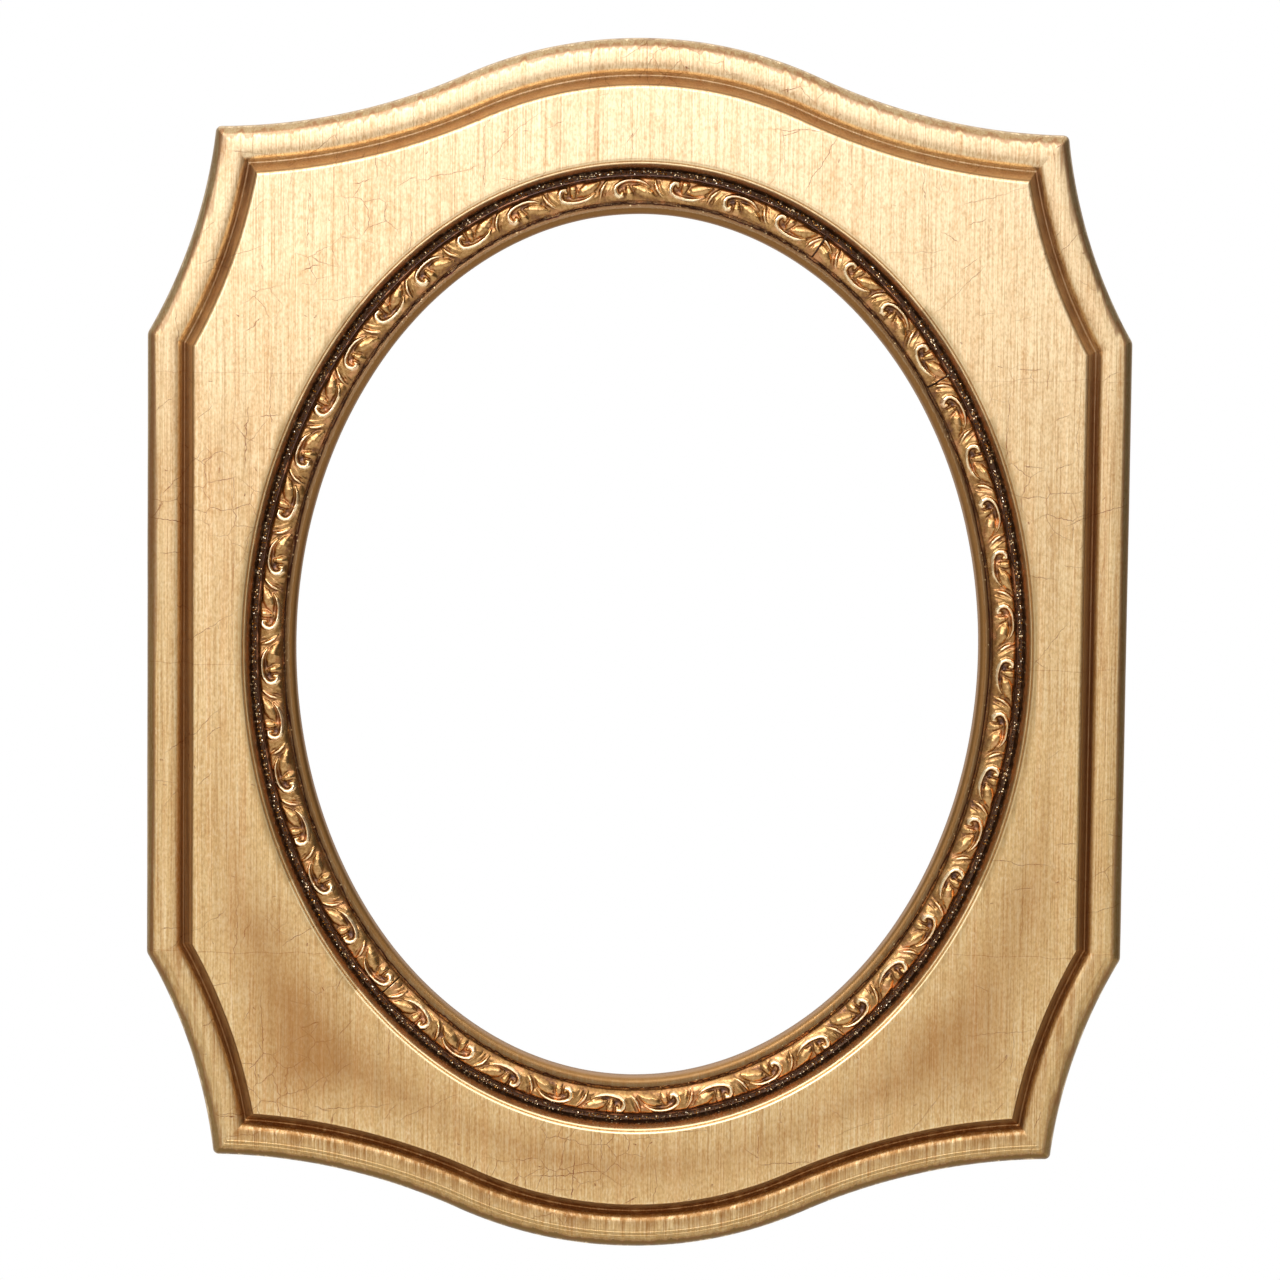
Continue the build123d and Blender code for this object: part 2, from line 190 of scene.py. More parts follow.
# The crown and the hollow shelf beside it touch, and the shelf ends at the horn. The hollow cheek runs
# from the horn to the shoulder.
crown_centre = np.array([0.0, half_height - crown_radius])
horn_ray = horn - crown_centre
horn_reach = np.linalg.norm(horn_ray)
centres_apart = crown_radius + shelf_radius
crown_spread = math.acos(
    (centres_apart ** 2 + horn_reach ** 2 - shelf_radius ** 2) / (2 * centres_apart * horn_reach))
crown_turn = math.atan2(horn_ray[1], horn_ray[0]) + crown_spread
crown_side = np.array([math.cos(crown_turn), math.sin(crown_turn)])
shelf_centre = crown_centre + centres_apart * crown_side
cheek_chord = (shoulder - horn) / 2
cheek_normal = unit(np.array([-cheek_chord[1], cheek_chord[0]]))
cheek_centre = horn + cheek_chord + cheek_normal * math.sqrt(
    cheek_radius ** 2 - cheek_chord @ cheek_chord)

# Points along each run of a quarter of the outline, closer together towards the horn and shoulder
crown_points, shelf_points, cheek_points, side_points = 70, 66, 56, 48
end_crowding, cheek_crowding = 1.4, 0.7
crown_run = np.linspace(0, 1, crown_points + 1)
shelf_run = 1 - (1 - np.linspace(0, 1, shelf_points + 1)) ** end_crowding
cheek_run = np.linspace(0, 1, cheek_points + 1)
cheek_run = cheek_run - cheek_crowding * np.sin(2 * math.pi * cheek_run) / (2 * math.pi)
side_run = np.linspace(0, 1, side_points + 1) ** end_crowding
horn_place = crown_points + shelf_points
shoulder_place = horn_place + cheek_points


def arc_points(centre, start, end, run):
    """Points round a centre from one end to the other, at shares of the turn between them."""
    first = math.atan2(*(start - centre)[::-1])
    turn = math.atan2(*(end - centre)[::-1]) - first
    turn = (turn + math.pi) % (2 * math.pi) - math.pi
    angles = first + turn * run
    return centre + np.linalg.norm(start - centre) * np.column_stack([np.cos(angles), np.sin(angles)])


def ease_corner(points, place, radius):
    """Rounds one corner of a run of points, each keeping its share of the way round."""
    tip = points[place].copy()
    clear_of_tip = 8
    ways = [unit(points[place + step] - tip) for step in (-clear_of_tip, clear_of_tip)]
    middle = unit(ways[0] + ways[1])
    half_angle = math.acos(np.clip(ways[0] @ middle, -1, 1))
    reach = radius / math.tan(half_angle)
    centre = tip + middle * radius / math.sin(half_angle)
    sweep = math.pi / 2 - half_angle
    for step, way in zip((-1, 1), ways):
        tangent = unit(tip + way * reach - centre)
        index = place if step == 1 else place - 1
        while 0 <= index < len(points) and np.linalg.norm(points[index] - tip) < reach:
            share = np.linalg.norm(points[index] - tip) / reach
            ray = math.sin((1 - share) * sweep) * -middle + math.sin(share * sweep) * tangent
            points[index] = centre + radius * unit(ray)
            index += step


def outline_ring(inset):
    """The frame's outline moved in by an inset, clockwise from the top as seen from the front."""
    crown = crown_radius - inset
    shelf = shelf_radius + inset
    cheek = cheek_radius + inset
    meeting = crown_centre + crown * crown_side
    corner = circles_meet(shelf_centre, shelf, cheek_centre, cheek, horn)
    side_x = half_width - inset
    drop = math.sqrt(cheek ** 2 - (cheek_centre[0] - side_x) ** 2)
    turn_in = np.array([side_x, cheek_centre[1] - drop])
    quarter = np.vstack([
        arc_points(crown_centre, crown_centre + np.array([0, crown]), meeting, crown_run)[:-1],
        arc_points(shelf_centre, meeting, corner, shelf_run)[:-1],
        arc_points(cheek_centre, corner, turn_in, cheek_run)[:-1],
        np.column_stack([np.full(side_points + 1, side_x), turn_in[1] * (1 - side_run)]),
    ])
    sharpness = max(0.0, 1 - inset / rounding_width)
    if sharpness > 0:
        ease_corner(quarter, horn_place, horn_round * sharpness + least_horn_round)
        ease_corner(quarter, shoulder_place, shoulder_round * sharpness + least_shoulder_round)
    back = quarter[:0:-1]
    return np.vstack([quarter[:-1], back * (1, -1), quarter[:-1] * (-1, -1), back * (-1, 1)])


def sight_ring(lip, bearings):
    """The sight oval moved out by a lip, at the bearings of the outline's points."""
    wide, high = sight_half_width + lip, sight_half_height + lip
    turns = np.arctan2(np.sin(bearings) / wide, np.cos(bearings) / high)
    return np.column_stack([wide * np.sin(turns), high * np.cos(turns)])


def ring_faces(rows, columns, gaps):
    """Faces between rings of points that lie one after another, over as many of the gaps as given."""
    faces = []
    for row in range(gaps):
        here, below = row * columns, (row + 1) % rows * columns
        for column in range(columns):
            ahead = (column + 1) % columns
            faces.append((here + column, below + column, below + ahead, here + ahead))
    return faces


# The gilded profile, in millimetres: the way in from the outer edge, and the height above the back
millimetre = 0.001
outer_profile = [
    (0.0, 0.0), (0.0, 9.0), (0.0, 12.4), (0.06, 13.4), (0.25, 14.3), (0.6, 15.08), (1.08, 15.66),
    (1.62, 16.06), (2.1, 16.31), (2.4, 16.43), (2.65, 16.49), (2.9, 16.53), (3.15, 16.55), (3.4, 16.57),
    (3.65, 16.59), (3.9, 16.6), (4.15, 16.61), (4.4, 16.62), (4.65, 16.625), (4.9, 16.63), (5.6, 16.63),
    (6.6, 16.62), (7.5, 16.55), (8.2, 16.42), (8.75, 16.18), (9.2, 15.8), (9.48, 15.3), (9.62, 14.6),
    (9.8, 13.98), (10.08, 13.65), (10.35, 13.6), (10.68, 13.88), (11.05, 14.5), (11.5, 15.5), (11.9, 16.6),
    (12.35, 17.9), (12.8, 19.1), (13.15, 20.05), (13.33, 20.55), (13.5, 20.86), (13.75, 21.0), (14.2, 21.0),
]
# The same inside the panel: the way out from the sight edge, and the height above the back
inner_profile = [
    (15.3, 21.0), (14.85, 21.0), (14.62, 20.93), (14.47, 20.72), (14.36, 20.36), (14.24, 20.2),
    (14.12, 20.36), (13.97, 20.46), (13.82, 20.36), (13.66, 20.0), (13.3, 18.9), (12.9, 17.6),
    (12.55, 16.5), (12.25, 15.5), (12.05, 14.95), (11.8, 14.8), (10.8, 14.8), (7.0, 14.8), (3.7, 14.95),
    (3.4, 15.25), (3.1, 15.42), (2.85, 15.6), (2.6, 15.86), (2.3, 16.0), (1.9, 16.05), (1.5, 16.03),
    (1.1, 15.96), (0.75, 15.84), (0.35, 15.48), (0.1, 14.98), (0.0, 14.3), (0.0, 10.0),
]
# The hidden face, down on the wood
inner_underside = [
    (0.6, 10.0), (0.6, 14.5), (1.5, 15.4), (2.1, 15.4), (2.4, 14.2), (12.6, 14.2), (13.2, 16.4), (14.3, 19.7),
    (14.9, 20.4),
]
outer_underside = [
    (14.0, 20.4), (14.0, 19.8), (12.2, 15.4), (11.2, 13.0), (9.0, 13.0), (9.0, 14.8), (7.9, 15.9),
    (3.2, 15.9), (1.4, 14.8), (0.6, 13.0), (0.6, 0.0),
]
panel_rim_in, panel_height = outer_profile[-1]
panel_oval_out = inner_profile[0][0]
panel_rows = 9
panel_shares = np.linspace(0, 1, panel_rows + 2)[1:-1]

# The rows of the skin: each a ring round the frame, its height above the back, and how far in from the
# edge and out from the sight it is, for the toning. The panel's width changes round the frame.
panel_rim = outline_ring(panel_rim_in * millimetre)
bearings = np.arctan2(panel_rim[:, 0], panel_rim[:, 1])
panel_oval = sight_ring(panel_oval_out * millimetre, bearings)
panel_gap = np.linalg.norm(panel_rim - panel_oval, axis=1)
panel_width = panel_gap / millimetre
columns = len(panel_gap)
rows = []
for inset, height in outer_profile:
    rows.append((
        outline_ring(inset * millimetre), height,
        np.full(columns, inset), (panel_rim_in - inset + panel_oval_out) + panel_width))
for share in panel_shares:
    rows.append((
        panel_rim * (1 - share) + panel_oval * share, panel_height,
        panel_rim_in + share * panel_gap / millimetre, panel_oval_out + (1 - share) * panel_gap / millimetre))
for lip, height in inner_profile:
    rows.append((
        sight_ring(lip * millimetre, bearings), height,
        panel_rim_in + panel_width + panel_oval_out - lip, np.full(columns, lip)))
shown_rows = len(rows)
no_toning = (np.zeros(columns), np.zeros(columns))
for lip, height in inner_underside:
    rows.append((sight_ring(lip * millimetre, bearings), height, *no_toning))
for inset, height in outer_underside:
    rows.append((outline_ring(inset * millimetre), height, *no_toning))
rings, heights, from_edge, from_sight = zip(*rows)
row_count = len(rows)

# Which way each rail faces, from 1 at the top to -1 at the bottom, for the toning and for the painted light
# and shade
rail_runs = np.roll(panel_rim, -1, axis=0) - np.roll(panel_rim, 1, axis=0)
faces_up = [rail_runs[:, 0] / np.linalg.norm(rail_runs, axis=1)] * row_count

skin_points = np.empty((row_count, columns, 3))
for row, (ring, height) in enumerate(zip(rings, heights)):
    skin_points[row, :, 0] = ring[:, 0]
    skin_points[row, :, 1] = back_y - height * millimetre
    skin_points[row, :, 2] = centre_z + ring[:, 1]
# The comb that smoothed the bottom rail's gesso left fine lines side by side
comb_height = 0.0002
combed = [row for row, (inset, _) in enumerate(outer_profile) if 2.3 < inset < 4.5]
skin_points[combed[::4], :, 1] -= comb_height * np.clip(-2 * faces_up[0] - 0.6, 0, 1)
skin_mesh = bpy.data.meshes.new("gilded_coat")
skin_mesh.from_pydata(
    skin_points.reshape(-1, 3).tolist(), [], ring_faces(row_count, columns, row_count))

# Hand-worked gesso is never flat: low waves a few centimetres long, and a few millimetres long
wave_height, ripple_height = 0.00007, 0.000018
wave_length, ripple_length = 0.03, 0.006
places = skin_points.reshape(-1, 3).copy()
normals = np.empty(len(places) * 3, np.float32)
skin_mesh.vertex_normals.foreach_get("vector", normals)
normals = normals.reshape(-1, 3)
for index in range(shown_rows * columns):
    place = Vector(places[index])
    lift = wave_height * noise.noise(place / wave_length) + ripple_height * noise.noise(place / ripple_length)
    places[index] += normals[index] * lift
skin_mesh.vertices.foreach_set("co", places.astype(np.float32).ravel())
for name, values in (("from_edge", from_edge), ("from_sight", from_sight), ("faces_up", faces_up)):
    attribute = skin_mesh.attributes.new(name, "FLOAT", "POINT")
    attribute.data.foreach_set("value", np.concatenate(values).astype(np.float32))
skin_mesh.polygons.foreach_set("use_smooth", np.ones(len(skin_mesh.polygons), bool))
skin_mesh.update()
skin = in_scene("gilded_coat", skin_mesh)


def toned_gilding():
    """Gold leaf on red bole, burnished dry and toned with brown: satin metal, streaked upright by the
    brush that laid the bole, with hairline tears, and dark where the toning was left in the hollows."""
    material, add, surface = new_material("toned_gold_leaf")
    coords = add("TexCoord", output="Object")
    edge, sight, upward = [
        add("Attribute", output="Fac", attribute_name=name)
        for name in ("from_edge", "from_sight", "faces_up")]
    flat = add("Mapping", {"Vector": coords, "Rotation": (-math.pi / 2, 0, 0)})

    # Brush marks: single bristles leave lines 0.2 mm wide, drawn at 0.4 mm to show, and the whole brush
    # leaves sweeps 2 mm wide. The crinkle is the leaf's own, half a millimetre across. Each has its
    # width, and that as a share of its length.
    marks = []
    for width, drawn_out, detail, roughness in (
        (0.0004, 0.013, 3.0, 0.6),
        (0.002, 0.022, 2.0, 0.5),
        (0.0005, 0.45, 2.0, 0.5),
    ):
        stretched = add("Mapping", {"Vector": coords, "Scale": (1 / width, 1 / width, drawn_out / width)})
        marks.append(add("TexNoise", (stretched, 1.0, detail, roughness)))
    fine, broad, grain = marks
    # Blotches 2.4 mm across, and clouds 36 mm across
    mottle = add("TexNoise", (coords, 420.0, 4.0, 0.65))
    cloud = add("TexNoise", (coords, 28.0, 4.0))

    # Leaves: squares of 80 mm laid with a lap, each a little different in tone
    sway = add("TexNoise", (coords, 60.0, 4.0), "Color")
    swayed = add("Mix VECTOR", (0.004, flat, sway))
    leaves = add("TexBrick", {
        "Vector": swayed, "Color1": linear("#E9C990"), "Color2": linear("#E2BF84"),
        "Mortar": linear("#BF8F58"), "Scale": 1.0, "Mortar Size": 0.00011, "Mortar Smooth": 0.4,
        "Brick Width": 0.08, "Row Height": 0.08}, offset=0.37)
    # The leaf is painted paler towards the top: a painted highlight, where the light from above falls
    # strongest
    height = add("SeparateXYZ", (coords,), "Z")
    painted_top_light = add("MapRange", (height, -0.2, 0.0, 0.0, 0.6))
    shade = add("Mix RGBA", (painted_top_light, leaves, linear("#E9D4B2")))
    for pattern, start, full, most, hex_colour in (
        (cloud, 0.5, 0.75, 0.3, "#D3A265"),
        (broad, 0.5, 0.7, 0.35, "#D09A62"),
        (mottle, 0.52, 0.7, 0.4, "#C8985C"),
        (mottle, 0.47, 0.3, 0.35, "#F4DEB0"),
        (fine, 0.5, 0.68, 0.55, "#A9743F"),
        (fine, 0.47, 0.33, 0.5, "#F6E4BA"),
        (grain, 0.53, 0.68, 0.35, "#F6E4BC"),
        (grain, 0.48, 0.34, 0.25, "#96683A"),
    ):
        amount = add("MapRange", (pattern, start, full, 0.0, most))
        shade = add("Mix RGBA", (amount, shade, linear(hex_colour)))

    # Tears and scratches: hairlines that show the bole, each in a cell of its own, with the share of
    # cells that have one. They are drawn 0.2 mm wide to show. The last row is upright cracks along the
    # grain of the wood.
    bend = add("TexNoise", (coords, 330.0, 3.0), "Color")
    crooked = add("Mix VECTOR", (0.002, swayed, bend))
    torn = 0.0
    for cell, share, lean, spread, half_long, half_thick in (
        (0.03, 0.75, 0.45, 1.3, 0.011, 0.0001),
        (0.013, 0.5, 0.55, 2.2, 0.003, 0.0001),
        (0.0062, 0.12, 0.4, 3.1, 0.0006, 0.00015),
        (0.024, 0.6, 1.5708, 0.05, 0.0115, 0.00009),
    ):
        moved = add("VectorMath", (crooked, (cell * 7.3, cell * 3.1, 0)))
        cells = add("TexVoronoi", (moved, 1 / cell), voronoi_dimensions="2D").node.outputs
        away = add("VectorMath SUBTRACT", (moved, cells["Position"]))
        chance = add("SeparateColor", (cells["Color"],)).node.outputs
        turn = add("MapRange", (chance[0], 0.0, 1.0, -lean - spread / 2, -lean + spread / 2))
        turned = add("VectorRotate", {"Vector": away, "Angle": turn}, rotation_type="Z_AXIS")
        ways = add("SeparateXYZ", (turned,)).node.outputs
        along = add("Math ABSOLUTE", (ways[0],))
        across = add("Math ABSOLUTE", (ways[1],))
        there = add("Math LESS_THAN", (chance[1], share))
        line = add("MapRange", (across, half_thick * 0.6, half_thick * 1.5, 1.0, 0.0))
        short = add("MapRange", (along, half_long * 0.6, half_long, 1.0, 0.0))
        for part in (short, there):
            line = add("Math MULTIPLY", (line, part))
        torn = add("Math MAXIMUM", (line, torn))
    broken = add("MapRange", (cloud, 0.36, 0.6, 0.25, 0.95))
    # Here and there the leaf has crazed into a web of cracks about 6 mm across
    web = add("TexVoronoi", (crooked, 165.0), voronoi_dimensions="2D", feature="DISTANCE_TO_EDGE")
    crack = add("MapRange", (web, 0.008, 0.026, 0.7, 0.0))
    patch = add("MapRange", (cloud, 0.57, 0.63))
    crazed = add("Math MULTIPLY", (crack, patch))
    gaps = add("MapRange", (grain, 0.35, 0.55, 0.25, 1.0))
    tear = add("Math MULTIPLY", (torn, broken))
    tear = add("Math MAXIMUM", (tear, crazed))
    tear = add("Math MULTIPLY", (tear, gaps))
    shade = add("Mix RGBA", (tear, shade, linear("#7E4026")))

    # Patina: the toner was wiped from the rails and left in the broad spandrels, unevenly. Lower down it is
    # deepened as painted shade, darker towards the bottom where less light from above falls.
    inmost = add("Math MINIMUM", (edge, sight))
    patina_and_low_shade = add("MapRange", (inmost, 12.0, 33.0), interpolation_type="SMOOTHSTEP")
    # Painted shade: the patina grows stronger towards the bottom of the frame
    lower = add("MapRange", (height, -0.08, -0.26, 0.0, 0.72))
    uneven = add("MapRange", (cloud, 0.38, 0.6, 0.6, 1.0))
    for part in (lower, uneven):
        patina_and_low_shade = add("Math MULTIPLY", (patina_and_low_shade, part))
    shade = add("Mix RGBA", (patina_and_low_shade, shade, linear("#A4703A")))

    # Toning: bands of brown and olive by the way in from the edge or out from the sight, in millimetres.
    # Each has what wanders its edges, where it starts, is full, fades and ends, how far it wanders, how
    # much there is on the top rail, the sides and the bottom rail, and its colour. Where those amounts
    # differ much from rail to rail, they paint light and shade: bands painted darker on the bottom rail
    # and the sides and fainter on the top rail, as the light from above falls.
    bristly, smeary, speckled = [
        add("Math SUBTRACT", (pattern, 0.5)) for pattern in (fine, broad, grain)]
    loose = add("Math MULTIPLY_ADD", (smeary, 1.3, bristly))
    covered = 0.0
    for reading, wander, starts, full, fades, ends, stray, at_top, aside, at_bottom, hex_colour in (
        (edge, loose, -2.0, -1.0, 0.2, 0.5, 0.3, 0.6, 0.8, 0.55, "#8C6A2A"),
        (edge, loose, 0.2, 0.5, 2.0, 2.9, 1.2, 0.7, 0.8, 0.97, "#6A4C18"),
        (edge, smeary, 1.5, 2.1, 2.8, 3.2, 5.0, 0.5, 0.45, 0.3, "#7C4524"),
        (edge, smeary, 2.3, 2.6, 4.4, 5.2, 2.0, 0.1, 0.2, 0.6, "#8E6C34"),
        # Painted shade: the outer band's brown is far stronger on the bottom rail than on the top rail
        (edge, loose, 3.6, 9.3, 9.9, 11.0, 7.0, 0.08, 0.28, 0.9, "#87581F"),
        (edge, loose, 10.0, 11.0, 13.1, 13.4, 2.0, 0.2, 0.36, 0.5, "#AC803C"),
        (edge, loose, 8.8, 9.7, 10.8, 12.2, 3.0, 0.2, 0.5, 0.5, "#84490F"),
        (edge, smeary, 9.6, 9.85, 10.7, 11.1, 1.5, 0.1, 0.55, 0.2, "#5A2C08"),
        (edge, speckled, 12.7, 12.95, 13.2, 13.42, 0.3, 0.5, 0.6, 0.5, "#5E3A18"),
        (sight, speckled, -2.0, -1.0, 1.5, 2.1, 0.6, 0.97, 0.95, 0.9, "#764E1C"),
        (sight, speckled, 1.3, 2.0, 2.6, 3.0, 0.6, 0.95, 0.93, 0.85, "#5C3A12"),
        (sight, smeary, 2.62, 2.78, 3.0, 3.3, 1.5, 0.95, 0.95, 0.95, "#43190F"),
        (sight, loose, 12.9, 13.3, 14.8, 16.4, 2.0, 0.15, 0.6, 0.0, "#80602A"),
        (sight, speckled, 12.3, 12.7, 13.1, 13.6, 1.2, 0.88, 0.86, 0.85, "#CC7A34"),
        (sight, speckled, 3.2, 3.5, 12.6, 13.0, 1.2, 0.97, 0.97, 0.97, "#3A1D09"),
        # Painted highlights: the two pale cream rows light the fillets either side of the fine groove at the
        # panel's inner edge, strongest on the bottom rail where the fillets face up to the light
        (sight, speckled, 13.6, 13.7, 14.04, 14.12, 0.3, 0.4, 0.15, 0.9, "#FAE4B4"),
        (sight, speckled, 14.08, 14.2, 14.28, 14.4, 0.1, 0.6, 0.5, 0.5, "#B0702E"),
        (sight, speckled, 14.42, 14.5, 14.8, 15.0, 0.3, 0.4, 0.15, 0.9, "#FAE4B4"),
    ):
        strayed = add("Math MULTIPLY_ADD", (wander, stray, reading))
        band = add("MapRange", (strayed, starts, full))
        falling = add("MapRange", (strayed, fades, ends, 1.0, 0.0))
        below_side = add("MapRange", (upward, -0.8, 0.0, at_bottom, aside))
        above_side = add("MapRange", (upward, 0.1, 0.7, 0.0, at_top - aside))
        left = add("Math", (below_side, above_side))
        for part in (falling, left):
            band = add("Math MULTIPLY", (band, part))
        shade = add("Mix RGBA", (band, shade, linear(hex_colour)))
        covered = add("Math MAXIMUM", (band, covered))
    # Pale flecks beside the channel and beside the ornament: painted glints, as of loose grains of the
    # channel's sand catching the light
    strays = add("TexVoronoi", (coords, 800.0)).node.outputs
    glint_spot = add("MapRange", (strays["Distance"], 0.14, 0.24, 1.0, 0.0))
    stray_lot = add("SeparateColor", (strays["Color"],))
    chosen = add("Math LESS_THAN", (stray_lot, 0.4))
    painted_glints = add("MapRange", (sight, 2.0, 2.7))
    stops = add("MapRange", (sight, 12.9, 13.8, 1.0, 0.0))
    for part in (stops, glint_spot, chosen):
        painted_glints = add("Math MULTIPLY", (painted_glints, part))
    shade = add("Mix RGBA", (painted_glints, shade, linear("#F2D8A4")))
    # The sides and the sight edge have bole and toning only, with no leaf
    bare = add("MapRange", (inmost, 0.02, 0.2, 1.0, 0.0))
    shade = add("Mix RGBA", (bare, shade, linear("#8A6232")))

    metal = add("MapRange", (covered, 0.0, 1.0, 0.96, 0.8))
    leafed = add("MapRange", (bare, 0.0, 1.0, metal, 0.0))
    satin = add("MapRange", (broad, 0.3, 0.7, 0.31, 0.41))
    gloss = add("MapRange", (bare, 0.0, 1.0, satin, 0.7))
    rise = add("Math", (fine, grain))
    relief = add("Bump", {"Height": rise, "Strength": 0.5, "Distance": 0.00003})
    # The coat is the toner, shellac that lies thin over the leaf
    feed(surface, {
        "Base Color": shade, "Metallic": leafed, "Roughness": gloss, "Normal": relief,
        "Coat Weight": 0.12, "Coat Roughness": 0.3, "Coat IOR": 1.52})
    return material


skin_mesh.materials.append(toned_gilding())
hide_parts("gesso_coat")
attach(skin, "frame")

# Sanded channel: fine sand strewn in glue round the outside of the ornament, a traditional finish that
# sets off burnished work. It was gilded thinly and is nearly black with toning, with glints of quartz.
sand_inner, sand_outer = 0.01085, 0.01235
sand_height = 0.0148
bed_columns = 720
sand_bed = bpy.data.meshes.new("sand_bed")
bed_turns = np.linspace(0, 2 * math.pi, bed_columns + 1)[:-1]
bed_points = []
for lip in (sand_inner, sand_outer):
    ring = sight_ring(lip, bed_turns)
    bed_points += [(x, back_y - sand_height, centre_z + z) for x, z in ring]
bed_faces = []
for column in range(bed_columns):
    next_column = (column + 1) % bed_columns
    bed_faces.append((column, next_column, bed_columns + next_column, bed_columns + column))
sand_bed.from_pydata(bed_points, [], bed_faces)


def growth_tree(name, result, named_inputs):
    """A new geometry tree with named inputs, what adds nodes to it, and the values that it is given."""
    tree = bpy.data.node_groups.new(name, "GeometryNodeTree")
    for label, kind, *value in named_inputs:
        socket = tree.interface.new_socket(label, in_out="INPUT", socket_type="NodeSocket" + kind)
        if value:
            socket.default_value = value[0]
    tree.interface.new_socket(result, in_out="OUTPUT", socket_type="NodeSocketGeometry")
    add = partial(add_node, tree)
    return tree, add, add("NodeGroupInput").node.outputs


def grown_piece(name, start_mesh, tree, values):
    """Runs a geometry tree on a mesh and returns the result as a plain piece."""
    source = in_scene(name + "_source", start_mesh)
    growth = source.modifiers.new("growth", "NODES")
    growth.node_group = tree
    for item in tree.interface.items_tree:
        if item.in_out == "INPUT" and item.name in values:
            growth[item.identifier] = values[item.name]
    depsgraph = bpy.context.evaluated_depsgraph_get()
    mesh = bpy.data.meshes.new_from_object(source.evaluated_get(depsgraph), depsgraph=depsgraph)
    bpy.data.objects.remove(source)
    mesh.name = name
    return in_scene(name, mesh)


def strewn_sand_tree():
    """Strews grains of uneven size, each turned its own way, over a bed."""
    tree, add, given = growth_tree("strewn_sand", "Sand", (
        ("Bed", "Geometry"),
        ("Grains per square metre", "Float", 4.0e6),
        ("Smallest radius", "Float", 0.00009),
        ("Largest radius", "Float", 0.00032),
        ("Seed", "Int", 7),
        ("Finish", "Material"),
    ))
    seed = given["Seed"]
    strewn = add("DistributePointsOnFaces", {
        "Mesh": given["Bed"], "Density": given["Grains per square metre"], "Seed": seed})
    radius = add("RandomValue FLOAT", {
        0: given["Smallest radius"], 1: given["Largest radius"], "Seed": seed})
    way = add("RandomValue FLOAT_VECTOR", {0: (0, 0, 0), 1: (6.28, 6.28, 6.28), "Seed": seed})
    grains = add("InstanceOnPoints", {
        "Points": strewn, "Instance": add("MeshIcoSphere"), "Rotation": way, "Scale": radius})
    lot = add("RandomValue FLOAT", {0: 0.0, 1: 1.0, "Seed": seed})
    marked = add("StoreNamedAttribute FLOAT", {
        "Geometry": grains, "Name": "grain_lot", "Value": lot}, domain="INSTANCE")
    real = add("RealizeInstances", (marked,))
    finished = add("SetMaterial", {"Geometry": real, "Material": given["Finish"]})
    add("NodeGroupOutput", (finished,))
    return tree


def toned_sand():
    """Quartz sand under leaf and dark toning: brown-black facets, and some burnished bright that glint."""
    material, add, surface = new_material("toned_quartz_sand")
    lot = add("Attribute", output="Fac", attribute_name="grain_lot")
    tone = add("ValToRGB", (lot,), ramp=[
        (0.0, "#3E1A06"), (0.6, "#74400E"), (0.8, "#A66A22"), (0.87, "#E8C890"), (1.0, "#FFEFD0")])
    feed(surface, {"Base Color": tone, "Metallic": 1.0, "Roughness": 0.25})
    return material


sand = grown_piece("sanded_channel", sand_bed, strewn_sand_tree(), {"Finish": toned_sand()})
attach(sand, "frame")

# Ornament: composition pressed warm from a carved mould, in a running scroll of C-shaped curls that
# open in and out by turns, with crescents between. It is glued into the recess in three lengths, then
# gilded and burnished, and the wash is left in its hollows. Its crests are painted paler, as a highlight.
strip_middle_out = 0.00705
path_half_width = sight_half_width + strip_middle_out
path_half_height = sight_half_height + strip_middle_out
strip_seat_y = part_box("ornament_strip_left")[1][1]
strip_width = 7.5
scroll_repeat = 30.3
scroll_half = scroll_repeat / 2

# One scroll that opens outwards, in millimetres: along, out from the inner edge, half width, height.
# Crests are narrow, and catch the light; bodies are broad and low.
scroll_crest = [
    (2.5, 5.0, 0.5, 0.75), (2.4, 5.75, 0.6, 0.95), (1.5, 5.85, 0.66, 1.1), (0.75, 5.0, 0.7, 1.25),
    (0.5, 3.9, 0.66, 1.3), (0.9, 2.9, 0.58, 1.25), (2.1, 2.1, 0.5, 1.2), (3.7, 1.65, 0.48, 1.2),
    (5.5, 1.5, 0.46, 1.15), (7.3, 1.75, 0.44, 1.05), (8.8, 2.35, 0.4, 0.9), (10.0, 3.2, 0.3, 0.6),
]
crescents = [
    [(11.35, 1.3, 0.26, 0.3), (11.6, 2.6, 0.4, 0.9), (12.1, 3.9, 0.46, 1.05), (12.95, 5.1, 0.42, 0.9),
     (13.8, 6.0, 0.3, 0.5)],
    [(12.9, 1.3, 0.26, 0.2), (13.2, 2.4, 0.36, 0.45), (13.8, 3.7, 0.36, 0.5), (14.6, 4.8, 0.3, 0.35)],
]
scroll_roll = [
    (1.2, 6.4, 0.9, 0.3), (-0.3, 5.4, 1.1, 0.5), (-0.8, 3.9, 1.2, 0.55), (-0.2, 2.2, 1.2, 0.55),
    (1.4, 1.1, 1.1, 0.5), (3.6, 0.6, 1.0, 0.45), (6.0, 0.5, 0.9, 0.45), (8.5, 1.1, 0.9, 0.4),
    (10.3, 2.2, 0.6, 0.25),
]
scroll_leaf = [
    (5.9, 3.4, 0.5, 0.4), (7.2, 4.1, 1.0, 0.85), (8.6, 4.7, 1.15, 0.95), (10.0, 5.4, 0.9, 0.8),
    (11.4, 6.2, 0.45, 0.45),
]
scroll_lobe = [(4.5, 6.4, 0.7, 0.65), (4.35, 5.2, 0.8, 0.9), (4.2, 4.2, 0.6, 0.75), (4.1, 3.4, 0.4, 0.4)]
# The hollows between them: along, out, half length, half width, depth
pockets = [(2.8, 3.5, 0.8, 0.6, 0.4), (5.9, 2.75, 1.2, 0.4, 0.3), (3.4, 5.4, 0.3, 0.7, 0.25)]


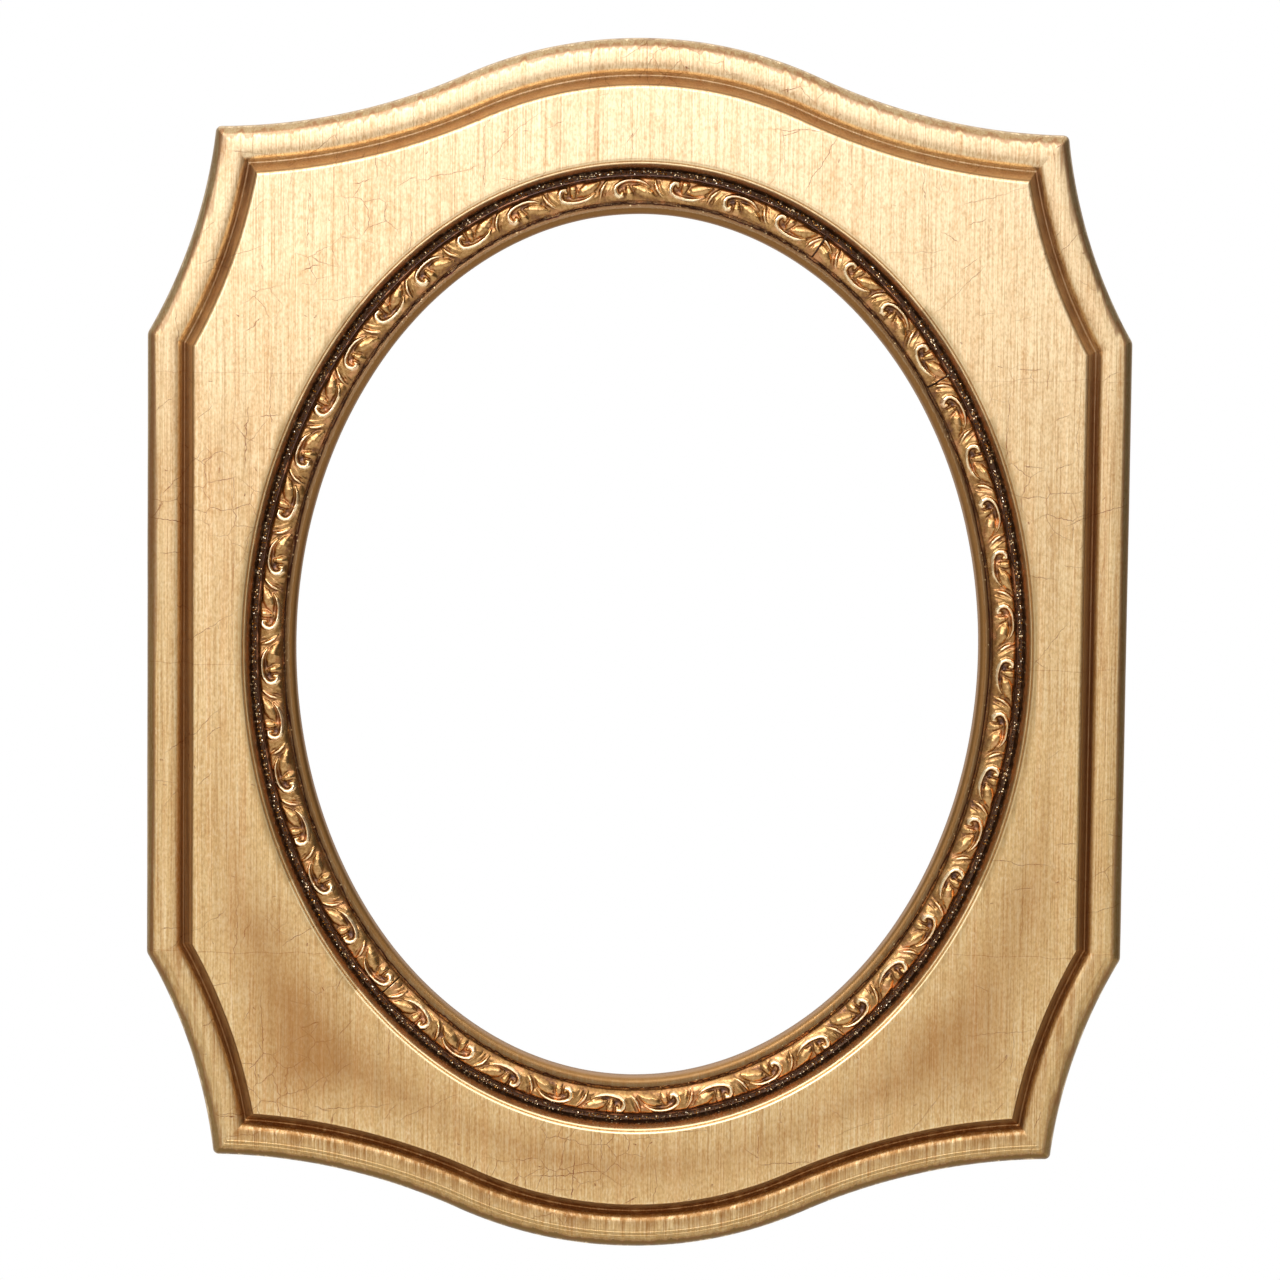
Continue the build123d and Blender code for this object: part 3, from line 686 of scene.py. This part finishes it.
def ridge_height(along, out, path, sharpness):
    """The height of a ridge whose width and height run on from point to point."""
    tallest = np.zeros_like(along)
    for start, end in zip(path, path[1:]):
        step = np.array(end[:2]) - np.array(start[:2])
        share = ((along - start[0]) * step[0] + (out - start[1]) * step[1]) / (step @ step)
        share = np.clip(share, 0, 1)
        away = np.hypot(along - start[0] - share * step[0], out - start[1] - share * step[1])
        width = start[2] + share * (end[2] - start[2])
        height = start[3] + share * (end[3] - start[3])
        rise = np.clip(1 - (away / (1.6 * width)) ** 2, 0, 1)
        tallest = np.maximum(tallest, height * rise ** sharpness)
    return tallest


def scroll_relief(along, out):
    """The carved relief over the plain dome of the strip, repeating along, with every other half upset."""
    crests, bodies, hollows = np.zeros_like(along), np.zeros_like(along), np.zeros_like(along)
    for turn in range(-1, 3):
        local = along - turn * scroll_half
        side = out if turn % 2 == 0 else strip_width - out
        for path in (scroll_crest, *crescents):
            crests = (crests ** 5 + ridge_height(local, side, path, 1.4) ** 5) ** 0.2
        for path in (scroll_roll, scroll_leaf, scroll_lobe):
            bodies = (bodies ** 5 + ridge_height(local, side, path, 0.9) ** 5) ** 0.2
        for middle, across, long, wide, depth in pockets:
            hollows += depth * np.exp(-((local - middle) / long) ** 2 - ((side - across) / wide) ** 2)
    return crests, bodies, hollows


# The strip's own dome is low at both sides, and the relief stands on it
inner_slope, outer_slope, outer_flat = 2.2, 1.1, 0.5
side_height, dome_rise, least_height = 0.7, 1.45, 0.55
tile_columns, tile_rows = 170, 44
tile_along = np.linspace(0, scroll_repeat, tile_columns + 1)
tile_out = np.linspace(0, strip_width, tile_rows + 1)
along_grid, out_grid = np.meshgrid(tile_along, tile_out, indexing="ij")
crests, bodies, hollows = scroll_relief(along_grid, out_grid)
inner_share = np.clip(out_grid / inner_slope, 0, 1)
outer_share = np.clip((strip_width - outer_flat - out_grid) / outer_slope, 0, 1)
edge_share = np.minimum(inner_share, outer_share)
dome = side_height + dome_rise * np.sqrt(1 - (1 - edge_share) ** 2)
carved = (crests ** 4 + bodies ** 4) ** 0.25
relief = np.maximum(dome + carved * (0.3 + 0.7 * edge_share) - hollows * edge_share, least_height)
# How far the burnisher has rubbed each point, from 0 in a hollow to 1 on a crest. It also paints the crests
# paler as a painted highlight.
burnish_and_highlight = np.clip(0.26 + 0.66 * crests ** 2 + 0.3 * bodies - 0.7 * hollows, 0, 1)
burnish_and_highlight = burnish_and_highlight * np.clip(2 * outer_share, 0, 1)

tile_points, tile_burnish_and_highlight = [], []
for along, heights_across, burnish_and_highlight_across in zip(tile_along, relief, burnish_and_highlight):
    tile_points.append((along, 0.0, 0.0))
    tile_points += [(along, -height, out) for out, height in zip(tile_out, heights_across)]
    tile_points.append((along, 0.0, strip_width))
    tile_burnish_and_highlight += [0.0, *burnish_and_highlight_across, 0.0]
tile_mesh = bpy.data.meshes.new("scroll_tile")
tile_mesh.from_pydata(
    (np.array(tile_points) * millimetre).tolist(), [],
    ring_faces(tile_columns + 1, tile_rows + 3, tile_columns))
burnish_highlight_layer = tile_mesh.attributes.new("burnish_and_highlight", "FLOAT", "POINT")
burnish_highlight_layer.data.foreach_set("value", np.array(tile_burnish_and_highlight, np.float32))
tile_mesh.update()


def pressed_strip_tree():
    """Repeats the scroll in a straight line, trims it to length, and bends it round the oval."""
    tree, add, given = growth_tree("pressed_strip", "Strip", (
        ("Scroll", "Geometry"),
        ("Half width", "Float", path_half_width),
        ("Half height", "Float", path_half_height),
        ("Centre", "Vector"),
        ("Start", "Float"),
        ("Length", "Float", 0.3),
        ("Phase", "Float"),
        ("Repeat", "Float", scroll_repeat * millimetre),
        ("Strip middle", "Float", strip_width / 2 * millimetre),
        ("Wander", "Float", 0.0003),
        ("Seed", "Float", 1.0),
        ("Finish", "Material"),
    ))

    # As many scrolls as the length takes, end to end, joined into one
    span = add("Math SUBTRACT", (given["Length"], given["Phase"]))
    times = add("Math DIVIDE", (span, given["Repeat"]))
    count = add("Math CEIL", (times,))
    first_place = add("CombineXYZ", (given["Phase"],))
    step = add("CombineXYZ", (given["Repeat"],))
    line = add("MeshLine", {"Count": count, "Start Location": first_place, "Offset": step})
    stretch = add("Math DIVIDE", (given["Repeat"], scroll_repeat * millimetre))
    scale = add("CombineXYZ", (stretch, 1.0, 1.0))
    copies = add("InstanceOnPoints", {
        "Points": line, "Instance": given["Scroll"], "Scale": scale})
    real = add("RealizeInstances", (copies,))
    joined = add("MergeByDistance", {"Geometry": real, "Distance": 0.00002})

    # Cut to length
    place = add("InputPosition")
    parts = add("SeparateXYZ", (place,)).node.outputs
    early = add("Compare LESS_THAN", (parts["X"], 0.0))
    late = add("Compare GREATER_THAN", (parts["X"], given["Length"]))
    outside = add("BooleanMath OR", (early, late))
    trimmed = add("DeleteGeometry", (joined, outside))

    # Bent round the oval, clockwise as seen from the front
    circle = add("CurvePrimitiveCircle", {"Resolution": 720, "Radius": 1.0})
    size = add("CombineXYZ", (given["Half width"], given["Half height"], 1.0))
    oval = add("Transform", {"Geometry": circle, "Scale": size})
    upright = add("Transform", {
        "Geometry": oval, "Rotation": (math.pi / 2, 0, 0), "Translation": given["Centre"]})
    clockwise = add("ReverseCurve", (upright,))
    whole = add("CurveLength", (clockwise,))
    along = add("Math", (parts["X"], given["Start"]))
    wrapped = add("Math FLOORED_MODULO", (along, whole))
    sample = add("SampleCurve", {
        "Curves": clockwise, "Length": wrapped}, mode="LENGTH").node.outputs
    outward = add("VectorMath CROSS_PRODUCT", (sample["Tangent"], (0, 1, 0)))
    offset = add("Math SUBTRACT", (parts["Z"], given["Strip middle"]))
    shifted = add("VectorMath SCALE", (outward, offset))
    lifted = add("CombineXYZ", {"Y": parts["Y"]})
    on_path = add("VectorMath", (sample["Position"], shifted))
    bent = add("VectorMath", (on_path, lifted))

    # Pressed and laid by hand: no two scrolls quite the same
    shaken = add("TexNoise", {
        "Vector": place, "W": given["Seed"], "Scale": 300.0}, "Color", noise_dimensions="4D")
    centred = add("VectorMath SUBTRACT", (shaken, (0.5, 0.5, 0.5)))
    wander = add("VectorMath SCALE", (centred, given["Wander"]))
    shifted_about = add("VectorMath", (bent, wander))
    raised = add("Compare LESS_THAN", (parts["Y"], -0.0001))
    settled = add("Switch", (raised, bent, shifted_about), input_type="VECTOR")
    moved = add("SetPosition", {"Geometry": trimmed, "Position": settled})
    smooth = add("SetShadeSmooth", {"Geometry": moved, "Shade Smooth": True})
    finished = add("SetMaterial", {"Geometry": smooth, "Material": given["Finish"]})
    add("NodeGroupOutput", (finished,))
    return tree


def oval_distance(bearing):
    """The way round the ornament's middle, clockwise from three o'clock, to a bearing's line, and the
    whole way round."""
    steps = np.linspace(0, 2 * math.pi, 7201)
    line_x, line_z = path_half_width * np.cos(steps), -path_half_height * np.sin(steps)
    walked = np.concatenate([[0], np.cumsum(np.hypot(np.diff(line_x), np.diff(line_z)))])
    angle = math.radians(-bearing) % (2 * math.pi)
    turn = math.atan2(math.sin(angle) / path_half_height, math.cos(angle) / path_half_width) % (2 * math.pi)
    return float(np.interp(turn, steps, walked)), float(walked[-1])


def burnished_ornament():
    """Gilded composition, burnished bright on its high parts over coppery bole, brown in the hollows, with
    the crests painted paler still as a highlight.
    """
    material, add, surface = new_material("burnished_gilt_composition")
    coords = add("TexCoord", output="Object")
    depth = add("Attribute", output="Fac", attribute_name="burnish_and_highlight")
    # Grit 0.7 mm across, and stains 4 mm across
    grit = add("TexNoise", (coords, 1400.0, 3.0))
    stain = add("TexNoise", (coords, 260.0, 3.0))
    for pattern, much in ((grit, 0.5), (stain, 0.6)):
        uneven = add("Math MULTIPLY_ADD", (pattern, much, -much / 2))
        depth = add("Math", (depth, uneven))
    # Painted highlight: the crests run to a pale cream, on top of the burnished wear; the hollows stay brown
    # with patina
    tone = add("ValToRGB", (depth,), ramp=[
        (0.0, "#4A2810"), (0.15, "#704620"), (0.35, "#9E7440"), (0.6, "#CBA168"), (0.95, "#F6DFB4")])
    copper = add("MapRange", (stain, 0.52, 0.68, 0.0, 0.6))
    blushed = add("Mix RGBA", (copper, tone, linear("#C9895C")))
    metal = add("MapRange", (depth, 0.0, 0.3, 0.6, 1.0))
    gloss = add("MapRange", (depth, 0.1, 0.8, 0.34, 0.18))
    rise = add("Bump", {"Height": grit, "Strength": 0.25, "Distance": 0.00005})
    feed(surface, {
        "Base Color": blushed, "Metallic": metal, "Roughness": gloss, "Normal": rise,
        "Coat Weight": 0.3, "Coat Roughness": 0.12, "Coat IOR": 1.52})
    return material


# Each length has the bearings of its two seams, where one of its scrolls stands, and its own repeat
gilt_composition = burnished_ornament()
strip_tree = pressed_strip_tree()
seam_half_gap = 0.0001
glue_lift = 0.00003
top_way, whole_way = oval_distance(90)
for name, starts_at, ends_at, scroll_at, repeat in (
    ("ornament_strip_right", 43.0, 234.7, top_way + 0.2723, 0.0303),
    ("ornament_strip_left", 234.7, 67.0, top_way + 0.6082, 0.0306),
    ("ornament_filler", 67.0, 43.0, top_way + 0.0596, 0.03),
):
    start = oval_distance(starts_at)[0] + seam_half_gap
    length = (oval_distance(ends_at)[0] - seam_half_gap - start) % whole_way
    phase = (scroll_at - start) % whole_way % repeat - repeat
    strip = grown_piece(name + "_gilt", tile_mesh, strip_tree, {
        "Centre": (0, strip_seat_y + glue_lift, centre_z), "Start": start, "Length": length,
        "Phase": phase, "Repeat": repeat, "Seed": starts_at, "Finish": gilt_composition})
    capped = bmesh.new()
    capped.from_mesh(strip.data)
    bmesh.ops.holes_fill(capped, edges=[edge for edge in capped.edges if edge.is_boundary], sides=0)
    capped.to_mesh(strip.data)
    capped.free()
    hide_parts(name)
    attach(strip, "frame")

# Turn buttons and their screws: flat brass-plated steel stampings, tumbled smooth, each on a slotted
# round-head screw. They hold the backing in the rebate, and the plate has dulled unevenly with age.


def worn_plate(name, clean, dulled, stained, grain_width, sheen):
    """Plated metal with fine drawn lines along it, dulled in patches and stained in a few places."""
    material, add, surface = new_material(name)
    coords = add("TexCoord", output="Object")
    drawn = add("Mapping", {
        "Vector": coords, "Scale": (1 / grain_width, 1 / grain_width, 0.02 / grain_width)})
    lines = add("TexNoise", (drawn, 1.0, 2.0))
    # Dull patches 3 mm across, and spots 1 mm across
    patches = add("TexNoise", (coords, 320.0, 5.0))
    spots = add("TexNoise", (coords, 900.0, 3.0))
    dull = add("MapRange", (patches, 0.42, 0.7, 0.0, 0.5))
    spot = add("MapRange", (spots, 0.62, 0.76, 0.0, 0.5))
    toned = add("Mix RGBA", (dull, linear(clean), linear(dulled)))
    marked = add("Mix RGBA", (spot, toned, linear(stained)))
    metal = add("MapRange", (spot, 0.0, 1.0, 1.0, 0.3))
    gloss = add("MapRange", (dull, 0.0, 1.0, sheen, sheen + 0.2))
    rise = add("Bump", {"Height": lines, "Strength": 0.3, "Distance": 0.00002})
    feed(surface, {"Base Color": marked, "Metallic": metal, "Roughness": gloss, "Normal": rise})
    return material


dulled_brass = worn_plate("dulled_brass_plate", "#D9BC7E", "#A2824B", "#5A3F22", 0.0002, 0.26)
for corner in corners:
    use_material(f"turn_button_{corner}", dulled_brass)
use_material("button_screws", worn_plate(
    "turned_brass_screw", "#D3B373", "#8F6F3C", "#4A3219", 0.00012, 0.24))

# Hanger: a strap of zinc-plated steel folded over a ring of drawn wire, and screwed to the top rail.
# The ring swings in the fold. The zinc has greyed, and the wire is brighter where it has rubbed.
for part, *plating in (
    ("hanger_strap", "zinc_plated_strap", "#C9CBC8", "#9A9C98", "#6A5A48", 0.0002, 0.34),
    ("hang_ring", "zinc_plated_wire", "#D2D3D0", "#A3A4A0", "#75665A", 0.00015, 0.27),
    ("hanger_screw", "zinc_plated_screw", "#C4C6C2", "#8C8D89", "#54483B", 0.00012, 0.3),
):
    use_material(part, worn_plate(*plating))

# Bumpers: discs punched from brown wool felt, 3 mm thick, glued to the lower back corners to keep the
# frame off the wall. The cut edge is a little swollen, and loose fibres stand out all over.
felt_turns = 72
fibre_room = 0.00025
edge_lump, face_settle = 0.00012, 0.00006


def felt_disc(name, box, seed):
    """A punched disc with softened edges, uneven as felt is, that fills its node's box."""
    low, high = Vector(box[0]), Vector(box[1])
    centre = (low + high) / 2
    radius = (high.x - low.x) / 2 - fibre_room
    thick = high.y - low.y
    # Shares of the radius and of the thickness, from the middle of one face round to the other
    section = [
        (0.0, 1.0), (0.35, 1.0), (0.62, 1.0), (0.8, 1.0), (0.9, 0.985), (0.96, 0.93), (0.99, 0.82),
        (1.0, 0.66), (1.0, 0.45), (1.0, 0.25), (0.995, 0.08), (0.98, 0.0), (0.5, 0.0), (0.0, 0.0)]
    disc = bmesh.new()
    rows = []
    for share, rise_share in section:
        rise = thick * rise_share
        if share == 0.0:
            rows.append([disc.verts.new((centre.x, low.y + rise, centre.z))])
            continue
        row = []
        for turn in range(felt_turns):
            angle = 2 * math.pi * turn / felt_turns
            around = Vector((math.cos(angle), 0, math.sin(angle)))
            lump = noise.noise(Vector((around.x, rise / thick, around.z)) * 4.0 + Vector((seed, 0, 0)))
            reach = radius * share + edge_lump * lump * share
            settle = face_settle * (noise.noise(around * share * 9.0 + Vector((0, seed, 0))) - 0.6)
            drop = settle if rise > thick * 0.9 else 0.0
            lift = Vector((0, low.y + rise + drop - centre.y, 0))
            row.append(disc.verts.new(centre + around * reach + lift))
        rows.append(row)
    for first, second in zip(rows, rows[1:]):
        for turn in range(felt_turns):
            ahead = (turn + 1) % felt_turns
            loop = [
                first[turn % len(first)], first[ahead % len(first)], second[ahead % len(second)],
                second[turn % len(second)]]
            disc.faces.new(list(dict.fromkeys(loop)))
    bmesh.ops.recalc_face_normals(disc, faces=disc.faces)
    mesh = bpy.data.meshes.new(name)
    disc.to_mesh(mesh)
    disc.free()
    return mesh


def felt_fibre():
    """One loose fibre, a bent sliver with three sides, a millimetre long."""
    mesh = bpy.data.meshes.new("felt_fibre")
    thickness = 0.000016
    points, faces = [], []
    # The way along and up, in millimetres, and the share of the thickness
    bends = ((0, 0, 1.0), (0.3, 0.12, 0.9), (0.65, 0.16, 0.7), (1.0, 0.1, 0.3))
    for step, (along, up, girth) in enumerate(bends):
        for corner in range(3):
            angle = 2 * math.pi * corner / 3
            points.append((
                along * millimetre, girth * thickness * math.cos(angle),
                up * millimetre + girth * thickness * math.sin(angle)))
            if step:
                now, ahead = step * 3 + corner, step * 3 + (corner + 1) % 3
                faces.append((now - 3, ahead - 3, ahead, now))
    faces += [(2, 1, 0), (9, 10, 11)]
    mesh.from_pydata(points, [], faces)
    return mesh


def felted_tree(fibre):
    """Lays loose fibres over a disc, each turned its own way, lying nearly flat."""
    tree, add, given = growth_tree("felted_disc", "Felt", (
        ("Disc", "Geometry"),
        ("Fibre", "Object", fibre),
        ("Fibres per square metre", "Float", 7.0e6),
        ("Seed", "Int", 3),
        ("Finish", "Material"),
    ))
    strewn = add("DistributePointsOnFaces", {
        "Mesh": given["Disc"], "Density": given["Fibres per square metre"], "Seed": given["Seed"]})
    one = add("GeometryNodeObjectInfo", {"Object": given["Fibre"]}, "Geometry")
    spin = add("RandomValue FLOAT", {0: 0.0, 1: 6.283, "Seed": given["Seed"]})
    about = add("CombineXYZ", {"Z": spin})
    turned = add("RotateRotation", (
        strewn.node.outputs["Rotation"], about), rotation_space="LOCAL")
    size = add("RandomValue FLOAT", {0: 0.5, 1: 1.3, "Seed": 5})
    fibres = add("InstanceOnPoints", {
        "Points": strewn, "Instance": one, "Rotation": turned, "Scale": size})
    both = add("JoinGeometry", (fibres,))
    feed(both.node, (given["Disc"],))
    real = add("RealizeInstances", (both,))
    smooth = add("SetShadeSmooth", {"Geometry": real, "Shade Smooth": True})
    finished = add("SetMaterial", {"Geometry": smooth, "Material": given["Finish"]})
    add("NodeGroupOutput", (finished,))
    return tree


def brown_felt():
    """Wool felt, dyed brown: a matt mat of fibres, flecked lighter and darker, with a soft sheen."""
    material, add, surface = new_material("brown_wool_felt")
    coords = add("TexCoord", output="Object")
    # Flecks 0.2 mm across, and faded patches 2 mm across
    flecks = add("TexNoise", {"Vector": coords, "Scale": 5000.0, "Detail": 3.0, "Distortion": 1.5})
    patches = add("TexNoise", (coords, 500.0, 3.0))
    tone = add("ValToRGB", (flecks,), ramp=[(0.3, "#4A3324"), (0.5, "#674A35"), (0.72, "#8A6A4E")])
    faded = add("MapRange", (patches, 0.4, 0.7, 0.0, 0.35))
    mixed = add("Mix RGBA", (faded, tone, linear("#7B6350")))
    rise = add("Bump", {"Height": flecks, "Strength": 0.6, "Distance": 0.00008})
    feed(surface, {
        "Base Color": mixed, "Roughness": 0.95, "Normal": rise, "Sheen Weight": 0.3, "Sheen Roughness": 0.5})
    return material


fibre = bpy.data.objects.new("felt_fibre_pattern", felt_fibre())
felt = brown_felt()
felt_grower = felted_tree(fibre)
for side, seed in (("left", 3), ("right", 8)):
    node = f"{side}_bumper"
    bumper = grown_piece(node + "_felt", felt_disc(node + "_disc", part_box(node), seed), felt_grower, {
        "Seed": seed, "Finish": felt})
    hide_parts(node)
    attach(bumper, "frame")
bpy.data.objects.remove(fibre)

# Studio: a pale floor well under the hung frame, a white backdrop, a large soft lamp above and in front,
# two small ones for the sparkle, and a dim warm room behind the camera. The camera stands where the
# photograph was taken from.
floor_drop, floor_half = 1.1, 4.0
floor_z = skin_box[0][2] - floor_drop
floor_mesh = bpy.data.meshes.new("floor")
floor_mesh.from_pydata(
    [(x * floor_half, y * floor_half, floor_z) for x, y in ((-1, -1), (1, -1), (1, 1), (-1, 1))],
    [], [(0, 1, 2, 3)])
floor = in_scene("floor", floor_mesh)
paper, add, paper_surface = new_material("matt_white_paper")
feed(paper_surface, {"Base Color": linear("#F2F2F2"), "Roughness": 0.9})
rays = add("LightPath").node.outputs
glow = add("Emission", (linear("#FFFFFF"), 1.0))
either = add("Math MAXIMUM", (rays["Is Camera Ray"], rays["Is Glossy Ray"]))
any_of = add("Math MAXIMUM", (either, rays["Is Transmission Ray"]))
part = add("Math MULTIPLY", (any_of, 0.8))
lit = add("MixShader", (part, paper_surface.outputs[0], glow))
feed(paper.node_tree.nodes["Material Output"], {"Surface": lit})
floor_mesh.materials.append(paper)

world = bpy.data.worlds.new("studio")
bpy.context.scene.world = world
world.use_nodes = True
add = partial(add_node, world.node_tree)
ways = add("SeparateXYZ", (add("TexCoord", output="Generated"),)).node.outputs
up = add("MapRange", (ways["Z"], -0.3, 0.12), interpolation_type="SMOOTHSTEP")
aside = add("Math ABSOLUTE", (ways["X"],))
side_level = add("MapRange", (ways["X"], -0.3, 0.3, 0.62, 0.2))
side_fall = add("MapRange", (aside, 0.3, 0.85, 1.0, side_level))
room = add("MapRange", (up, 0.0, 1.0, 0.66, 0.9))
lean = add("MapRange", (ways["X"], -0.4, 0.4, 1.08, 0.86))
for share in (lean, side_fall):
    room = add("Math MULTIPLY", (room, share))
ceiling = add("MapRange", (ways["Z"], 0.35, 0.8), interpolation_type="SMOOTHSTEP")
backdrop = add("MapRange", (ways["Y"], 0.1, 0.5, 0.0, 0.35))
rays = add("LightPath").node.outputs
mirrored = add("Math MAXIMUM", (rays["Is Glossy Ray"], rays["Is Transmission Ray"]))
white_there = add("Math MULTIPLY", (mirrored, backdrop))
white = add("Math MAXIMUM", (rays["Is Camera Ray"], white_there))
mixed = add("Mix", (white, room, 1.0))
indirect = add("Math SUBTRACT", (1.0, rays["Is Camera Ray"]))
level = add("Math MULTIPLY_ADD", (ceiling, indirect, mixed))
tint = add("Mix RGBA", (up, linear("#FFE9CD"), linear("#FFFFFF")))
tinted = add("Mix RGBA", (white, tint, linear("#FFFFFF")))
feed(world.node_tree.nodes["Background"], {"Strength": level, "Color": tinted})

aim = Vector((0, back_y, centre_z))
for name, place, size, power, lamp_tint in (
    ("key_lamp", (-0.35, -1.5, 0.55), (1.7, 1.0), 16.0, "#E9EEFF"),
    ("left_lamp", (-0.75, -1.0, 0.75), (0.35, 0.35), 3.6, "#FFFFFF"),
    ("right_lamp", (0.85, -1.1, 0.6), (0.3, 0.3), 2.0, "#FFFFFF"),
):
    lamp = bpy.data.lights.new(name, "AREA")
    lamp.shape = "RECTANGLE"
    lamp.size, lamp.size_y = size
    lamp.energy = power
    lamp.color = linear(lamp_tint)[:3]
    stand = in_scene(name, lamp)
    stand.location = place
    stand.rotation_euler = (aim - Vector(place)).to_track_quat("-Z", "Y").to_euler()

# Camera: its place and lens come from fitting the frame's outline and opening in the photograph
camera_azimuth = math.radians(-1.241)
camera_elevation = math.radians(4.856)
camera_roll = math.radians(0.626)
camera_distance = 1.23765
focal_pixels = 4454.5
picture_pixels = 1280
look_at = Vector((0.000466, back_y - 0.017, centre_z + 0.00275))
backwards = Vector((
    math.sin(camera_azimuth) * math.cos(camera_elevation),
    -math.cos(camera_azimuth) * math.cos(camera_elevation),
    math.sin(camera_elevation)))
rightwards = (-backwards).cross(Vector((0, 0, 1))).normalized()
upwards = rightwards.cross(-backwards)
camera_right = rightwards * math.cos(camera_roll) + upwards * math.sin(camera_roll)
camera_up = upwards * math.cos(camera_roll) - rightwards * math.sin(camera_roll)
lens = bpy.data.cameras.new("camera")
lens.lens = focal_pixels / picture_pixels * lens.sensor_width
lens.clip_start, lens.clip_end = 0.05, 20.0
camera = in_scene("camera", lens)
camera.matrix_world = Matrix.Translation(look_at + backwards * camera_distance) @ Matrix(
    (camera_right, camera_up, backwards)).transposed().to_4x4()
bpy.context.scene.camera = camera
bpy.context.scene.view_settings.view_transform = "Standard"
